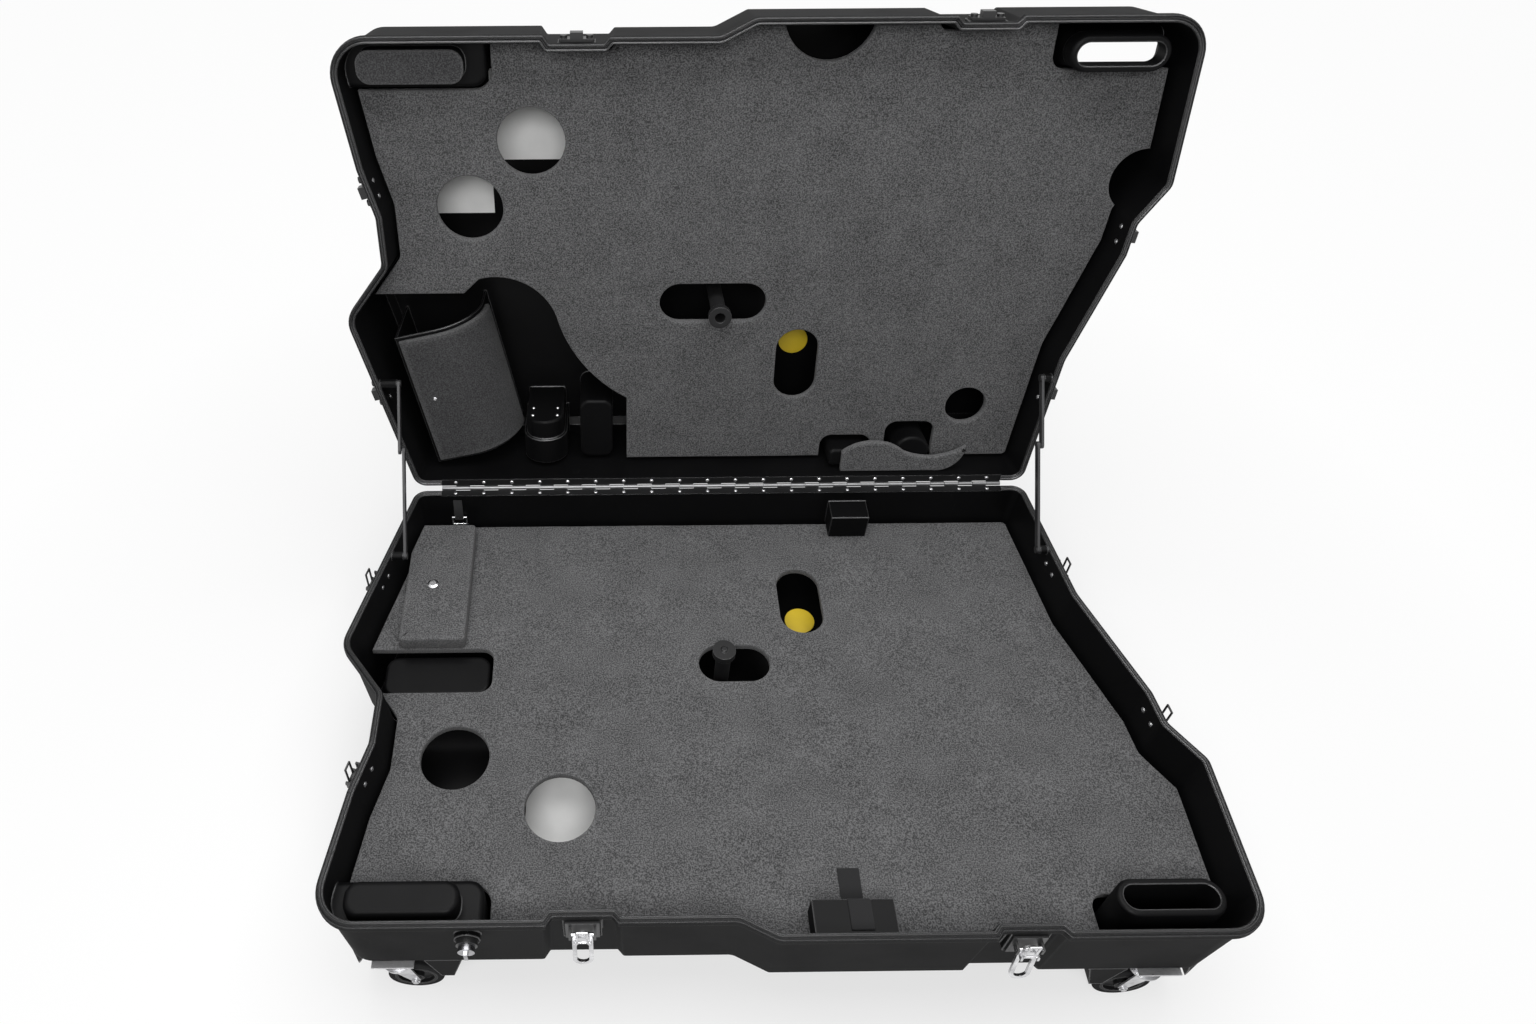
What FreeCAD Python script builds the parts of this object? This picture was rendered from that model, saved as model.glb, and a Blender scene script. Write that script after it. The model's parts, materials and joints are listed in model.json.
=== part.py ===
import FreeCAD, Part
import math
import os

# Hard travel case on swivel casters, lying open: a deep base, a lid on a piano hinge,
# foam linings, draw latches, folding lid stays.  Millimetres, +Z up, front towards -Y.
# Everything is drawn with the hinge pin along X through the origin and the base rim at
# Z = 0, the lid drawn shut and then swung open; the finished set is moved so that the
# middle of its underside is the origin.

# rim outline, counter-clockwise from the rear right corner
REAR_Y = -4.0
REAR_RIGHT_X = 503.0
REAR_LEFT_X = -540.0
BULGE_X = -620.0
BULGE_Y = -318.0
BULGE_FOOT_X = -553.0
BULGE_FOOT_Y = -405.0
SEAT_LEFT_A_Y = -482.0
SEAT_LEFT_B_X = -572.0
SEAT_LEFT_B_Y = -555.0
FRONT_LEFT_X = -600.0
FRONT_LEFT_Y = -741.0
NOTCH_SLOPE = 8.0
NOTCH_LEFT_X0 = -286.0
NOTCH_LEFT_X1 = -210.0
NOTCH_LEFT_Y = -729.0
FRONT_MID_Y = -738.0
SLOPE_X0 = -50.0
SLOPE_X1 = -2.0
FRONT_RIGHT_Y = -762.0
NOTCH_RIGHT_X0 = 280.0
NOTCH_RIGHT_X1 = 354.0
NOTCH_RIGHT_Y = -753.0
FRONT_RIGHT_X = 620.0
SHOULDER_X = 626.0
SHOULDER_Y = -522.0
SEAT_RIGHT_B_X = 589.0
SEAT_RIGHT_B_Y = -464.0
SEAT_RIGHT_A_X = 584.0
SEAT_RIGHT_A_Y = -414.0
WAIST_X = 528.0
WAIST_Y = -235.0
CORNER_R = 55.0
REAR_CORNER_R = 24.0
BULGE_R = 45.0
BEND_R = 24.0
SOFT_R = 60.0
NOTCH_R = 4.0
INNER_R = 8.0

# shells
WALL = 4.0
RIM_GAP = 0.5
RIM_BAND = 14.0
RIM_OVER = 6.0
RIM_EASE = 3.0
MOUTH_EASE = 1.5
GROOVE_IN = 5.0
GROOVE_W = 2.0
GROOVE_DEEP = 1.5
DRAFT = 10.0
EDGE_ROUND = 22.0
EDGE_IN = 18.0
BASE_DEPTH = 180.0
LID_DEPTH = 172.0
LID_OPEN = 104.0

# clearances, and how far cutting tools run past a face or past everything
SEAT_GAP = 0.3
RUN_FIT = 0.05
RIVET_SEAT = 0.1
HEAD_SKIRT = 0.4
HEAD_CROWN = 0.6
HEAD_SIDES = 16
OVERRUN = 1.0
FAR = 1000.0

# ribs under the foam: places along X, and for the lid also their two ends
RIB = 4.0
RIB_END_IN = 55.0
BASE_RIBS_X = (-365.0, -159.0, 206.0, 430.0)
LID_RIBS = ((-233.0, -700.0, -230.0), (194.0, -700.0, -100.0), (485.0, -640.0, -300.0))

# foam sheets
FOAM_T = 12.0
BASE_FOAM_TOP = 75.0
LID_FOAM_FRONT = 55.0
FOAM_INSET = 20.0
HOLE_R = 51.0
SMALL_HOLE_R = 34.0
LID_HOLE_A = (-320.0, -579.0)
LID_HOLE_B = (-418.0, -478.0)
LID_HOLE_C = (400.0, -123.0)
BASE_HOLE_A = (-440.0, -466.0)
BASE_HOLE_B = (-283.0, -546.0)
SLOT_LONG = 172.0
SLOT_WIDE = 66.0
LID_SLOT_H = (-39.0, -317.0)
BASE_SLOT_H = (-14.0, -308.0)
BASE_SLOT_LONG = 112.0
LID_SLOT_V = (104.0, -204.0)
BASE_SLOT_V = (104.0, -188.0)
SLOT_V_LONG = 128.0
SLOT_V_WIDE = 70.0
TOP_NOTCH_X = 110.0
TOP_NOTCH_R = 62.0
SIDE_NOTCH = (606.0, -512.0)
SIDE_NOTCH_R = 50.0
FOAM_CLEAR = 6.0
BUMP_CLEAR = 12.0
SWEEP_STEP_A = (-49.0, -56.0)
SWEEP_STEP_B = (-24.0, -80.0)
SWEEP_MID_A = (50.0, -71.0)
SWEEP_END_A = (97.0, -14.0)
SWEEP_MID_B = (133.0, 66.0)
SWEEP_END_Y = 138.0
SWEEP_OUT = 24.0

# corner towers and hand-hole
TOWER_X0 = -592.0
TOWER_X1 = -378.0
TOWER_Y = -662.0
TOWER_TOP = 42.0
TOWER_R = 20.0
TOWER_EDGE = 8.0
TOWER_HOLLOW_IN = 24.0
PILL_X = -482.0
PILL_Y = -697.0
PILL_LONG = 150.0
PILL_WIDE = 46.0
PILL_R = 19.0
PILL_TOP = 12.0
LID_PILL_TOP = 17.0
PILL_EDGE = 8.0
PAD_T = 5.0
GRIP_X = 508.0
GRIP_Y = -709.0
GRIP_LONG = 123.0
GRIP_WIDE = 32.0
GRIP_WALL = 9.0
GRIP_NECK = 28.0
RECESS_SIDE = 62.0
RECESS_BACK = 34.0
RECESS_R = 14.0
GRIP_FLOOR = 35.0
GRIP_TOP = 8.0
GRIP_EDGE = 6.0
VENT_WIDE = 60.0
VENT_HIGH = 36.0

# casters
UNDER = 105.0
GROUND = BASE_DEPTH + UNDER
FOOT_DROP = 38.0
POCKET_UP = 20.0
POCKET_ROOF = BASE_DEPTH - POCKET_UP
GRIP_DEEP = POCKET_ROOF - GRIP_FLOOR
POCKET_R = 60.0
POCKET_TOP_R = 42.0
POCKET_WALL = 5.0
FOOT_TOE = 18.0
FOOT_TAPER = 16.0
WHEEL_R = 40.0
WHEEL_W = 24.0
CORE_R = 30.0
HUB_R = 11.0
HUB_SIDE = 1.5
CORE_WEB = 12.0
CORE_RIM = 4.0
TYRE_ROUND = 4.0
AXLE_R = 4.0
TRAIL = 20.0
LEG_T = 2.5
LEG_GAP = 1.0
CROWN_T = 4.0
CROWN_R = 24.0
FORK_HALF = 16.8
CROWN_ROOM = 7.0
RACE_R = 20.0
RACE_GAP = 0.5
PLATE = 58.0
PLATE_T = 3.0
KING_R = 6.0
BOLT_R = 5.0
BOLT_H = 3.5
BOLT_IN = 9.0
NUT_R = 7.0
NUT_FACE_R = 6.0
NUT_H = 4.0
FRONT_WHEEL_IN = 36.0
REAR_CASTER_Y = -58.0
CASTER_LEFT_X = -510.0
CASTER_RIGHT_X = 532.0
REAR_CASTER_LEFT_X = -462.0
REAR_CASTER_RIGHT_X = 416.0

# piano hinge
HINGE_X0 = -496.0
HINGE_KNUCKLE = 24.0
HINGE_KNUCKLES = 40
KNUCKLE_GAP = 0.6
BARREL_R = 3.2
PIN_R = 1.6
LEAF_T = 1.3
LEAF_FACE = 1.9
LEAF_END = 15.0
LEAF_ROOM = 0.1
RIVET_R = 3.0
RIVET_H = 1.4
RIVET_Y = -10.0

# draw latches, drawn on a wall whose face is Y = 0, outwards -Y, set at a share of a rim edge
MIDDLE = 0.5
LEFT_REAR_SHARE = 0.55
RIGHT_REAR_SHARE = 0.3
LATCH_W = 44.0
LATCH_TOP = 16.0
LATCH_LOW = 62.0
LATCH_PLATE_T = 3.0
EAR_T = 3.0
EAR_X = 14.5
EAR_OUT = 15.0
PIVOT_OUT = 10.0
PIVOT_Z = -33.0
PIVOT_R = 2.5
EAR_HALF = 6.5
LEVER_W = 27.0
LEVER_UP = 6.0
LEVER_LONG = 78.0
LEVER_T = 4.0
LEVER_BAR = 5.5
LEVER_LEAN = 8.0
BAIL_OUT = 6.0
BAIL_DOWN = 9.0
BAIL_R = 1.6
BAIL_W = 13.0
BAIL_TOP = -9.0
LUG_X = 9.0
LUG_T = 3.0
LUG_HALF = 3.6
KEEPER_W = 46.0
KEEPER_LOW = 15.0
KEEPER_HIGH = 33.0
KEEPER_T = 4.0
KEEPER_BLOCK_W = 18.0
KEEPER_OUT = 12.5
KEEPER_EAR_R = 5.0
BOSS_SIDE = 3.0
INSIDE_RIVET_R = 4.0
INSIDE_RIVET_H = 1.6
INSIDE_RIVET_Z = -26.0
INSIDE_RIVET_X = 12.0

# turn lock on the front wall
LOCK_X = -396.0
LOCK_Z = -44.0
LOCK_BOSS_R = 17.0
LOCK_R = 14.0
LOCK_T = 7.0
LOCK_BORE = 7.0
KNOB_R = 11.0
KNOB_T = 8.0
KNOB_BAR = 5.0
KNOB_BAR_T = 6.0
KNOB_BAR_HALF = 8.8

# folding lid stays
STAY_BASE_Y = -140.0
STAY_LID_Y = -200.0
STAY_Z = 9.0
STAY_PIN_R = 4.0
STAY_BOSS_R = 7.0
STAY_W = 12.0
STAY_T = 4.0
STAY_SPACE = 2.5
STAY_HEAD_R = 6.0
STAY_HEAD_T = 1.2
STAY_LEFT_X = -552.0
STAY_RIGHT_X = 501.5
STAY_HOLE_R = 4.5

# lid mouldings
COLUMN_X0 = -532.0
COLUMN_X1 = -389.0
COLUMN_Y0 = -281.0
COLUMN_Y1 = -37.0
COLUMN_LEAN = 12.0
COLUMN_FRONT = 46.0
COLUMN_R = 78.0
COLUMN_T = 4.0
CURVED_PAD_T = 8.0
CURVED_PAD_END = 6.0
LEDGE_X = -318.0
LEDGE_HALF = 32.0
LEDGE_FRONT = 43.0
LEDGE_TOP_Y = -105.0
LEDGE_STEP_Y = -71.0
LEDGE_LOW_Y = -26.0
LEDGE_STEP = 5.0
LEDGE_EDGE = 4.0
LEDGE_RIVET_X = 21.0
LEDGE_RIVETS = (23.0, 48.0)
BUMP_TAPER = 8.0
POST_RIB_X0 = -258.0
POST_RIB_X1 = -202.0
POST_RIB_Y0 = -136.0
POST_RIB_Y1 = -24.0
POST_RIB_FRONT = 60.0
BOX_BUMP_X0 = 170.0
BOX_BUMP_X1 = 234.0
BOX_BUMP_Y0 = -54.0
BOX_BUMP_Y1 = -22.0
ROUND_BUMP_X = 311.0
ROUND_BUMP_Y = -50.0
ROUND_BUMP_R = 30.0
BUMP_FACE = 26.0
BUMP_EDGE = 5.0
FLAP_T = 10.0
FLAP_X0 = 190.0
FLAP_X1 = 401.0
FLAP_FAR_Y = -64.0
FLAP_WAVE = 10.0
STUD_R = 3.5
STUD_H = 2.0
PAD_STUDS = ((33.0, 126.0),)

# base mouldings
FRONT_BOSS_X0 = 50.0
FRONT_BOSS_X1 = 158.0
FRONT_BOSS_Y = -697.0
FRONT_BOSS_TOP = 35.0
BASE_BOX_TOP = 25.0
SADDLE_X0 = -566.0
SADDLE_X1 = -400.0
SADDLE_Y0 = -350.0
SADDLE_Y1 = -280.0
SADDLE_TOP = 92.0
REAR_PAD_X0 = -544.0
REAR_PAD_X1 = -440.0
REAR_PAD_Y0 = -276.0
REAR_PAD_Y1 = -40.0
REAR_PAD_T = 26.0
SNAP_X = -500.0
SNAP_Y = -168.0
SNAP_R = 9.0
SNAP_H = 3.0

# posts, discs, cards, straps
POST_X = -32.0
POST_Y = -315.0
BASE_POST_Y = -306.0
POST_R = 12.0
POST_BORE = 8.5
POST_CAP_R = 18.0
POST_CAP_T = 12.0
LID_POST_END = 3.0
BASE_POST_END = 42.0
KNOB_STUD_R = 6.0
KNOB_STUD_H = 3.0
DISC_R = 25.0
DISC_T = 3.0
BASE_STEM = 33.0
LID_STEM = 25.0
STEM_R = 8.0
LID_DISC = (111.0, -208.0)
BASE_DISC = (112.0, -184.0)
CARD_T = 1.0
CARD_A = (-388.0, -262.0, -660.0, -519.0)
CARD_B = (-498.0, -392.0, -548.0, -431.0)
CARD_BASE = (-340.0, -232.0, -566.0, -440.0)
STRAP_W = 30.0
STRAP_T = 2.0
STRAP_X = 112.0
STRAP_RUN = 56.0
STRAP_TOP_RUN = 40.0
TAB_X = -470.0
TAB_W = 15.0
TAB_T = 2.0
TAB_TOP = 14.0
TAB_LOW = 52.0
RING_W = 24.0
RING_H = 16.0
RING_WIRE = 1.5

V = FreeCAD.Vector
UP = V(0, 0, 1)
BASE = -1.0
LID = 1.0
TINY = 0.01


def rim_points():
    """Rim corners with their radii, counter-clockwise seen from above."""
    return [
        (REAR_RIGHT_X, REAR_Y, REAR_CORNER_R),
        (REAR_LEFT_X, REAR_Y, REAR_CORNER_R),
        (BULGE_X, BULGE_Y, BULGE_R),
        (BULGE_FOOT_X, BULGE_FOOT_Y, BEND_R),
        (BULGE_FOOT_X, SEAT_LEFT_A_Y, BEND_R),
        (SEAT_LEFT_B_X, SEAT_LEFT_B_Y, BEND_R),
        (FRONT_LEFT_X, FRONT_LEFT_Y, CORNER_R),
        (NOTCH_LEFT_X0 - NOTCH_SLOPE, FRONT_LEFT_Y, NOTCH_R),
        (NOTCH_LEFT_X0, NOTCH_LEFT_Y, NOTCH_R),
        (NOTCH_LEFT_X1, NOTCH_LEFT_Y, NOTCH_R),
        (NOTCH_LEFT_X1 + NOTCH_SLOPE, FRONT_MID_Y, NOTCH_R),
        (SLOPE_X0, FRONT_MID_Y, BEND_R),
        (SLOPE_X1, FRONT_RIGHT_Y, BEND_R),
        (NOTCH_RIGHT_X0 - NOTCH_SLOPE, FRONT_RIGHT_Y, NOTCH_R),
        (NOTCH_RIGHT_X0, NOTCH_RIGHT_Y, NOTCH_R),
        (NOTCH_RIGHT_X1, NOTCH_RIGHT_Y, NOTCH_R),
        (NOTCH_RIGHT_X1 + NOTCH_SLOPE, FRONT_RIGHT_Y, NOTCH_R),
        (FRONT_RIGHT_X, FRONT_RIGHT_Y, CORNER_R),
        (SHOULDER_X, SHOULDER_Y, BEND_R),
        (SEAT_RIGHT_B_X, SEAT_RIGHT_B_Y, BEND_R),
        (SEAT_RIGHT_A_X, SEAT_RIGHT_A_Y, BEND_R),
        (WAIST_X, WAIST_Y, SOFT_R),
    ]


def outline(inset, z):
    """Closed wire of the rim outline drawn in by inset, at height z."""
    pts = rim_points()
    n = len(pts)
    dirs = []
    for i in range(n):
        a, b = pts[i], pts[(i + 1) % n]
        d = V(b[0] - a[0], b[1] - a[1], 0)
        dirs.append(d.normalize())
    corners = []
    for i in range(n):
        d0, d1 = dirs[i - 1], dirs[i]
        n0 = V(-d0.y, d0.x, 0)
        n1 = V(-d1.y, d1.x, 0)
        cross = d0.x * d1.y - d0.y * d1.x
        corner = V(pts[i][0], pts[i][1], z)
        along = inset * (n0 - n1).dot(n1) / cross if abs(cross) > TINY * TINY else 0.0
        corners.append((corner + n0 * inset + d0 * along, cross, d0, d1))
    edges = []
    joints = []
    for (corner, cross, d0, d1), point in zip(corners, pts):
        r = point[2]
        if cross > 0 and r > NOTCH_R:
            r = max(r - inset, INNER_R)
        half = 0.5 * math.acos(max(-1.0, min(1.0, d0.dot(d1))))
        reach = r * math.tan(half)
        inward = (d1 - d0).normalize()
        mid = corner + inward * (r / math.cos(half) - r)
        joints.append((corner - d0 * reach, mid, corner + d1 * reach))
    for i in range(n):
        p, m, q = joints[i]
        edges.append(Part.Arc(p, m, q).toShape())
        edges.append(Part.makeLine(q, joints[(i + 1) % n][0]))
    return Part.Wire(edges)


def prism(wire, height):
    """Solid from a closed flat wire, drawn up by height."""
    return Part.Face(wire).extrude(V(0, 0, height))


def soft_prism(wire, height, edge):
    """Prism of a flat wire with the edges of its first face rounded."""
    solid = prism(wire, height)
    z = wire.Vertexes[0].Z
    first = [e for e in solid.Edges if all(abs(v.Z - z) < TINY for v in e.Vertexes)]
    return solid.makeFillet(edge, first)


def box(x0, x1, y0, y1, z0, z1):
    """Box between two corners, given in any order."""
    lo = V(min(x0, x1), min(y0, y1), min(z0, z1))
    return Part.makeBox(abs(x1 - x0), abs(y1 - y0), abs(z1 - z0), lo)


def cylinder(r, start, end):
    """Round bar between two points."""
    return Part.makeCylinder(r, (end - start).Length, start, end - start)


def poly(points):
    """Closed wire through points."""
    return Part.makePolygon(points + [points[0]])


def rounded(x0, x1, y0, y1, r, z):
    """Rectangle with round corners; r of half the width makes an oblong."""
    r = min(r, (x1 - x0) / 2 - TINY, (y1 - y0) / 2 - TINY)
    s = r * (1 - math.sqrt(0.5))
    p = [V(x0 + r, y0, z), V(x1 - r, y0, z), V(x1, y0 + r, z), V(x1, y1 - r, z),
         V(x1 - r, y1, z), V(x0 + r, y1, z), V(x0, y1 - r, z), V(x0, y0 + r, z)]
    m = [V(x1 - s, y0 + s, z), V(x1 - s, y1 - s, z), V(x0 + s, y1 - s, z), V(x0 + s, y0 + s, z)]
    edges = []
    for i in range(4):
        edges.append(Part.makeLine(p[2 * i], p[2 * i + 1]))
        edges.append(Part.Arc(p[2 * i + 1], m[i], p[(2 * i + 2) % 8]).toShape())
    return Part.Wire(edges)


def oblong(cx, cy, lx, ly, z):
    """Oblong wire centred on a point."""
    return rounded(cx - lx / 2, cx + lx / 2, cy - ly / 2, cy + ly / 2, min(lx, ly) / 2, z)


def between(wire_maker, side, d0, d1):
    """Prism of a wire between two depths from the rim plane, on one side of it."""
    z0 = side * min(d0, d1)
    return prism(wire_maker(z0), side * abs(d1 - d0))


def dome(r, h, at, axis):
    """Low many-sided head with a short straight skirt and a bevelled crown, standing on a point."""
    turn = FreeCAD.Rotation(UP, axis)
    rings = []
    for share, rise in ((1.0, 0.0), (1.0, h * HEAD_SKIRT), (HEAD_CROWN, h)):
        angles = [2 * math.pi * i / HEAD_SIDES for i in range(HEAD_SIDES)]
        points = [V(r * share * math.cos(a), r * share * math.sin(a), rise) for a in angles]
        rings.append(poly([at + turn.multVec(p) for p in points]))
    return Part.makeLoft(rings, True, True)


def skin(side, depth, extra, top):
    """Drafted body of one shell half with a rounded bottom edge."""
    start = RIM_OVER + extra
    bend = 1 - math.sqrt(0.5)
    levels = [
        (start, top),
        (start + DRAFT, depth - EDGE_ROUND),
        (start + DRAFT + bend * EDGE_IN, depth - bend * EDGE_ROUND),
        (start + DRAFT + EDGE_IN, depth),
    ]
    return Part.makeLoft([outline(i, side * d) for i, d in levels], True, True)


def wall_inset(depth, d):
    """Outer wall's distance inside the rim outline at depth d."""
    return RIM_OVER + DRAFT * d / (depth - EDGE_ROUND)


def rim_band(side):
    """Rim flange with rounded outer edges."""
    start = RIM_GAP / 2
    bend = (1 - math.sqrt(0.5)) * RIM_EASE
    levels = [(RIM_EASE, start), (bend, start + bend), (0.0, start + RIM_EASE),
              (0.0, RIM_BAND - RIM_EASE), (bend, RIM_BAND - bend), (RIM_EASE, RIM_BAND)]
    return Part.makeLoft([outline(i, side * d) for i, d in levels], True, True)


def rim_cuts(side):
    """Eased mouth of the cavity and the seal groove round the rim face."""
    face = RIM_GAP / 2
    start = RIM_OVER + WALL
    wide = outline(start - MOUTH_EASE, side * face)
    narrow = outline(start, side * (face + MOUTH_EASE))
    mouth = Part.makeLoft([wide, narrow], True, True)
    deep = face + GROOVE_DEEP
    land = between(lambda z: outline(GROOVE_IN + GROOVE_W, z), side, 0.0, deep)
    groove = between(lambda z: outline(GROOVE_IN, z), side, 0.0, deep).cut(land)
    return [mouth, groove]


def half_shell(side, depth):
    """Outer solid, its drafted skin and the cavity of one half."""
    half_gap = RIM_GAP / 2
    outer = skin(side, depth, 0.0, half_gap)
    cavity = skin(side, depth - WALL, WALL, -half_gap)
    return outer.fuse(rim_band(side)), outer, cavity


def fuse_all(shapes):
    """One solid from many overlapping ones."""
    return shapes[0].multiFuse(shapes[1:]).removeSplitter()


def bent_wire(points, r, closed):
    """Bars of a round wire bent through points, with a ball at each bend."""
    ends = points[1:] + points[:1] if closed else points[1:]
    bends = points if closed else points[1:-1]
    bars = [cylinder(r, a, b) for a, b in zip(points, ends)]
    return bars + [Part.makeSphere(r, p) for p in bends]


def wall_frame(p, q, share):
    """Placement whose X runs along a rim edge and whose -Y points outwards."""
    a = V(p[0], p[1], 0)
    b = V(q[0], q[1], 0)
    d = b - a
    turn = math.degrees(math.atan2(d.y, d.x))
    return FreeCAD.Placement(a + d * share, FreeCAD.Rotation(UP, turn))


def moved(shape, placement):
    """Copy of a shape set at a placement."""
    out = shape.copy()
    out.Placement = placement.multiply(out.Placement)
    return out


def latch_frames():
    """Name and placement of each latch seat."""
    seats = [
        ("front_left", (NOTCH_LEFT_X0, NOTCH_LEFT_Y), (NOTCH_LEFT_X1, NOTCH_LEFT_Y), MIDDLE),
        ("front_right", (NOTCH_RIGHT_X0, NOTCH_RIGHT_Y), (NOTCH_RIGHT_X1, NOTCH_RIGHT_Y), MIDDLE),
        ("left_front", (BULGE_FOOT_X, SEAT_LEFT_A_Y), (SEAT_LEFT_B_X, SEAT_LEFT_B_Y), MIDDLE),
        ("left_rear", (REAR_LEFT_X, REAR_Y), (BULGE_X, BULGE_Y), LEFT_REAR_SHARE),
        ("right_front", (SEAT_RIGHT_B_X, SEAT_RIGHT_B_Y), (SEAT_RIGHT_A_X, SEAT_RIGHT_A_Y), MIDDLE),
        ("right_rear", (WAIST_X, WAIST_Y), (REAR_RIGHT_X, REAR_Y), RIGHT_REAR_SHARE),
    ]
    return [(name, wall_frame(p, q, share)) for name, p, q, share in seats]


def latch_boss(side):
    """Flat pad on the wall under the rim band, level with the band's face."""
    low = LATCH_LOW if side == BASE else KEEPER_HIGH
    deep = wall_inset(BASE_DEPTH, low) + WALL / 2
    width = (LATCH_W if side == BASE else KEEPER_W) / 2 + BOSS_SIDE
    return box(-width, width, 0, deep, side * (RIM_BAND / 2), side * (low + BOSS_SIDE))


def latch_plate():
    """Latch back plate with its two ears."""
    plate = box(-LATCH_W / 2, LATCH_W / 2, -LATCH_PLATE_T, 0, -LATCH_LOW, -LATCH_TOP)
    parts = [plate]
    for s in (-1, 1):
        z0, z1 = PIVOT_Z - EAR_HALF, PIVOT_Z + EAR_HALF
        parts.append(box(s * EAR_X, s * (EAR_X + EAR_T), -EAR_OUT, -LATCH_PLATE_T / 2, z0, z1))
    reach = EAR_X + EAR_T + OVERRUN
    bore = cylinder(PIVOT_R + RUN_FIT, V(-reach, -PIVOT_OUT, PIVOT_Z), V(reach, -PIVOT_OUT, PIVOT_Z))
    return fuse_all(parts).cut(bore)


def latch_lever():
    """Long oval lever with its pivot pin and the two lugs of the bail."""
    back = -PIVOT_OUT + LEVER_T / 2
    high = PIVOT_Z + LEVER_UP
    low = high - LEVER_LONG
    hw = LEVER_W / 2
    ring = prism(rounded(-hw, hw, low, high, hw, 0), LEVER_T)
    window_top = PIVOT_Z - BAIL_DOWN - LUG_HALF - LEVER_BAR
    hole = prism(rounded(-hw + LEVER_BAR, hw - LEVER_BAR, low + LEVER_BAR, window_top, hw, 0), LEVER_T)
    frame = ring.cut(hole)
    frame.rotate(V(0, 0, 0), V(1, 0, 0), 90)
    frame.translate(V(0, back, 0))
    end = EAR_X + EAR_T
    pin = cylinder(PIVOT_R, V(-end, -PIVOT_OUT, PIVOT_Z), V(end, -PIVOT_OUT, PIVOT_Z))
    at = V(0, -PIVOT_OUT - BAIL_OUT, PIVOT_Z - BAIL_DOWN)
    parts = [frame, pin]
    for s in (-1, 1):
        parts.append(box(s * LUG_X, s * (LUG_X + LUG_T), at.y - LUG_HALF, back - LEVER_T / 2,
                         at.z - LUG_HALF, at.z + LUG_HALF))
    bore = cylinder(BAIL_R + RUN_FIT, at - V(hw, 0, 0), at + V(hw, 0, 0))
    lever = fuse_all(parts).cut(bore)
    lever.rotate(V(0, -PIVOT_OUT, PIVOT_Z), V(1, 0, 0), -LEVER_LEAN)
    return lever


def bail_pivot():
    """Bail axis on the leaning lever, in the latch's own frame."""
    a = math.radians(-LEVER_LEAN)
    y = -BAIL_OUT * math.cos(a) + BAIL_DOWN * math.sin(a)
    z = -BAIL_OUT * math.sin(a) - BAIL_DOWN * math.cos(a)
    return V(0, y - PIVOT_OUT, PIVOT_Z + z)


def latch_bail():
    """Wire loop that reaches up to the catch."""
    at = bail_pivot()
    top = V(0, at.y, BAIL_TOP)
    half = V(BAIL_W / 2, 0, 0)
    end = V(LUG_X + LUG_T, 0, 0)
    loop = bent_wire([at - half, top - half, top + half, at + half], BAIL_R, False)
    return fuse_all([cylinder(BAIL_R, at - end, at + end)] + loop)


def keeper():
    """Catch block for one latch on the lid's wall."""
    parts = [box(-KEEPER_W / 2, KEEPER_W / 2, -KEEPER_T, 0, KEEPER_LOW, KEEPER_HIGH)]
    half = KEEPER_BLOCK_W / 2
    parts.append(box(-half, half, -KEEPER_OUT, -KEEPER_T / 2, KEEPER_LOW, KEEPER_HIGH - KEEPER_T))
    mid = (KEEPER_LOW + KEEPER_HIGH) / 2
    for s in (-1, 1):
        x = s * (KEEPER_W / 2 - KEEPER_EAR_R)
        parts.append(cylinder(KEEPER_EAR_R, V(x, -KEEPER_T / 2, mid), V(x, -2 * KEEPER_T, mid)))
    return fuse_all(parts)


def inside_rivets(side, depth):
    """Two rivet heads on the inside of a latch wall, square to the drafted face."""
    lean = math.atan2(DRAFT, depth - EDGE_ROUND)
    d = abs(INSIDE_RIVET_Z)
    axis = V(0, math.cos(lean), -side * math.sin(lean))
    out = []
    for s in (-1, 1):
        at = V(s * INSIDE_RIVET_X, wall_inset(depth, d) + WALL, side * d)
        out.append(dome(INSIDE_RIVET_R, INSIDE_RIVET_H, at + axis * RIVET_SEAT, axis))
    return out


def caster_spots():
    """Name, swivel axis, trail direction and outward Y direction of each caster."""
    left_y = FRONT_LEFT_Y + FRONT_WHEEL_IN
    right_y = FRONT_RIGHT_Y + FRONT_WHEEL_IN
    return [
        ("fl", CASTER_LEFT_X, left_y, 1.0, -1.0),
        ("fr", CASTER_RIGHT_X, right_y, -1.0, -1.0),
        ("rl", REAR_CASTER_LEFT_X, REAR_CASTER_Y, 1.0, 1.0),
        ("rr", REAR_CASTER_RIGHT_X, REAR_CASTER_Y, -1.0, 1.0),
    ]


def foot_block(x, y, out):
    """Corner leg around a caster, following the wall."""
    low = -BASE_DEPTH - FOOT_DROP
    high = -POCKET_ROOF
    reach = POCKET_R + FOOT_TOE
    profile = poly([V(x - reach, 0, low), V(x + reach, 0, low), V(x + reach + FOOT_TAPER, 0, high),
                    V(x - reach - FOOT_TAPER, 0, high)])
    inner = y - out * (POCKET_R + POCKET_WALL)
    block = Part.Face(profile).extrude(V(0, FAR * out, 0))
    block.translate(V(0, inner, 0))
    keep = prism(outline(RIM_OVER + DRAFT, low), BASE_DEPTH + FOOT_DROP - POCKET_ROOF + WALL)
    return block.common(keep)


def pocket(x, y, out, grow):
    """Arched room for a swivelling caster, open to the nearer wall."""
    low = -BASE_DEPTH - FOOT_DROP
    high = -POCKET_ROOF + grow
    r0, r1 = POCKET_R + grow, POCKET_TOP_R + grow
    cone = Part.makeCone(r0, r1, high - low, V(x, y, low), UP)
    profile = poly([V(x - r0, y, low), V(x + r0, y, low), V(x + r1, y, high), V(x - r1, y, high)])
    tunnel = Part.Face(profile).extrude(V(0, FAR * out, 0))
    return cone.fuse(tunnel)


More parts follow.
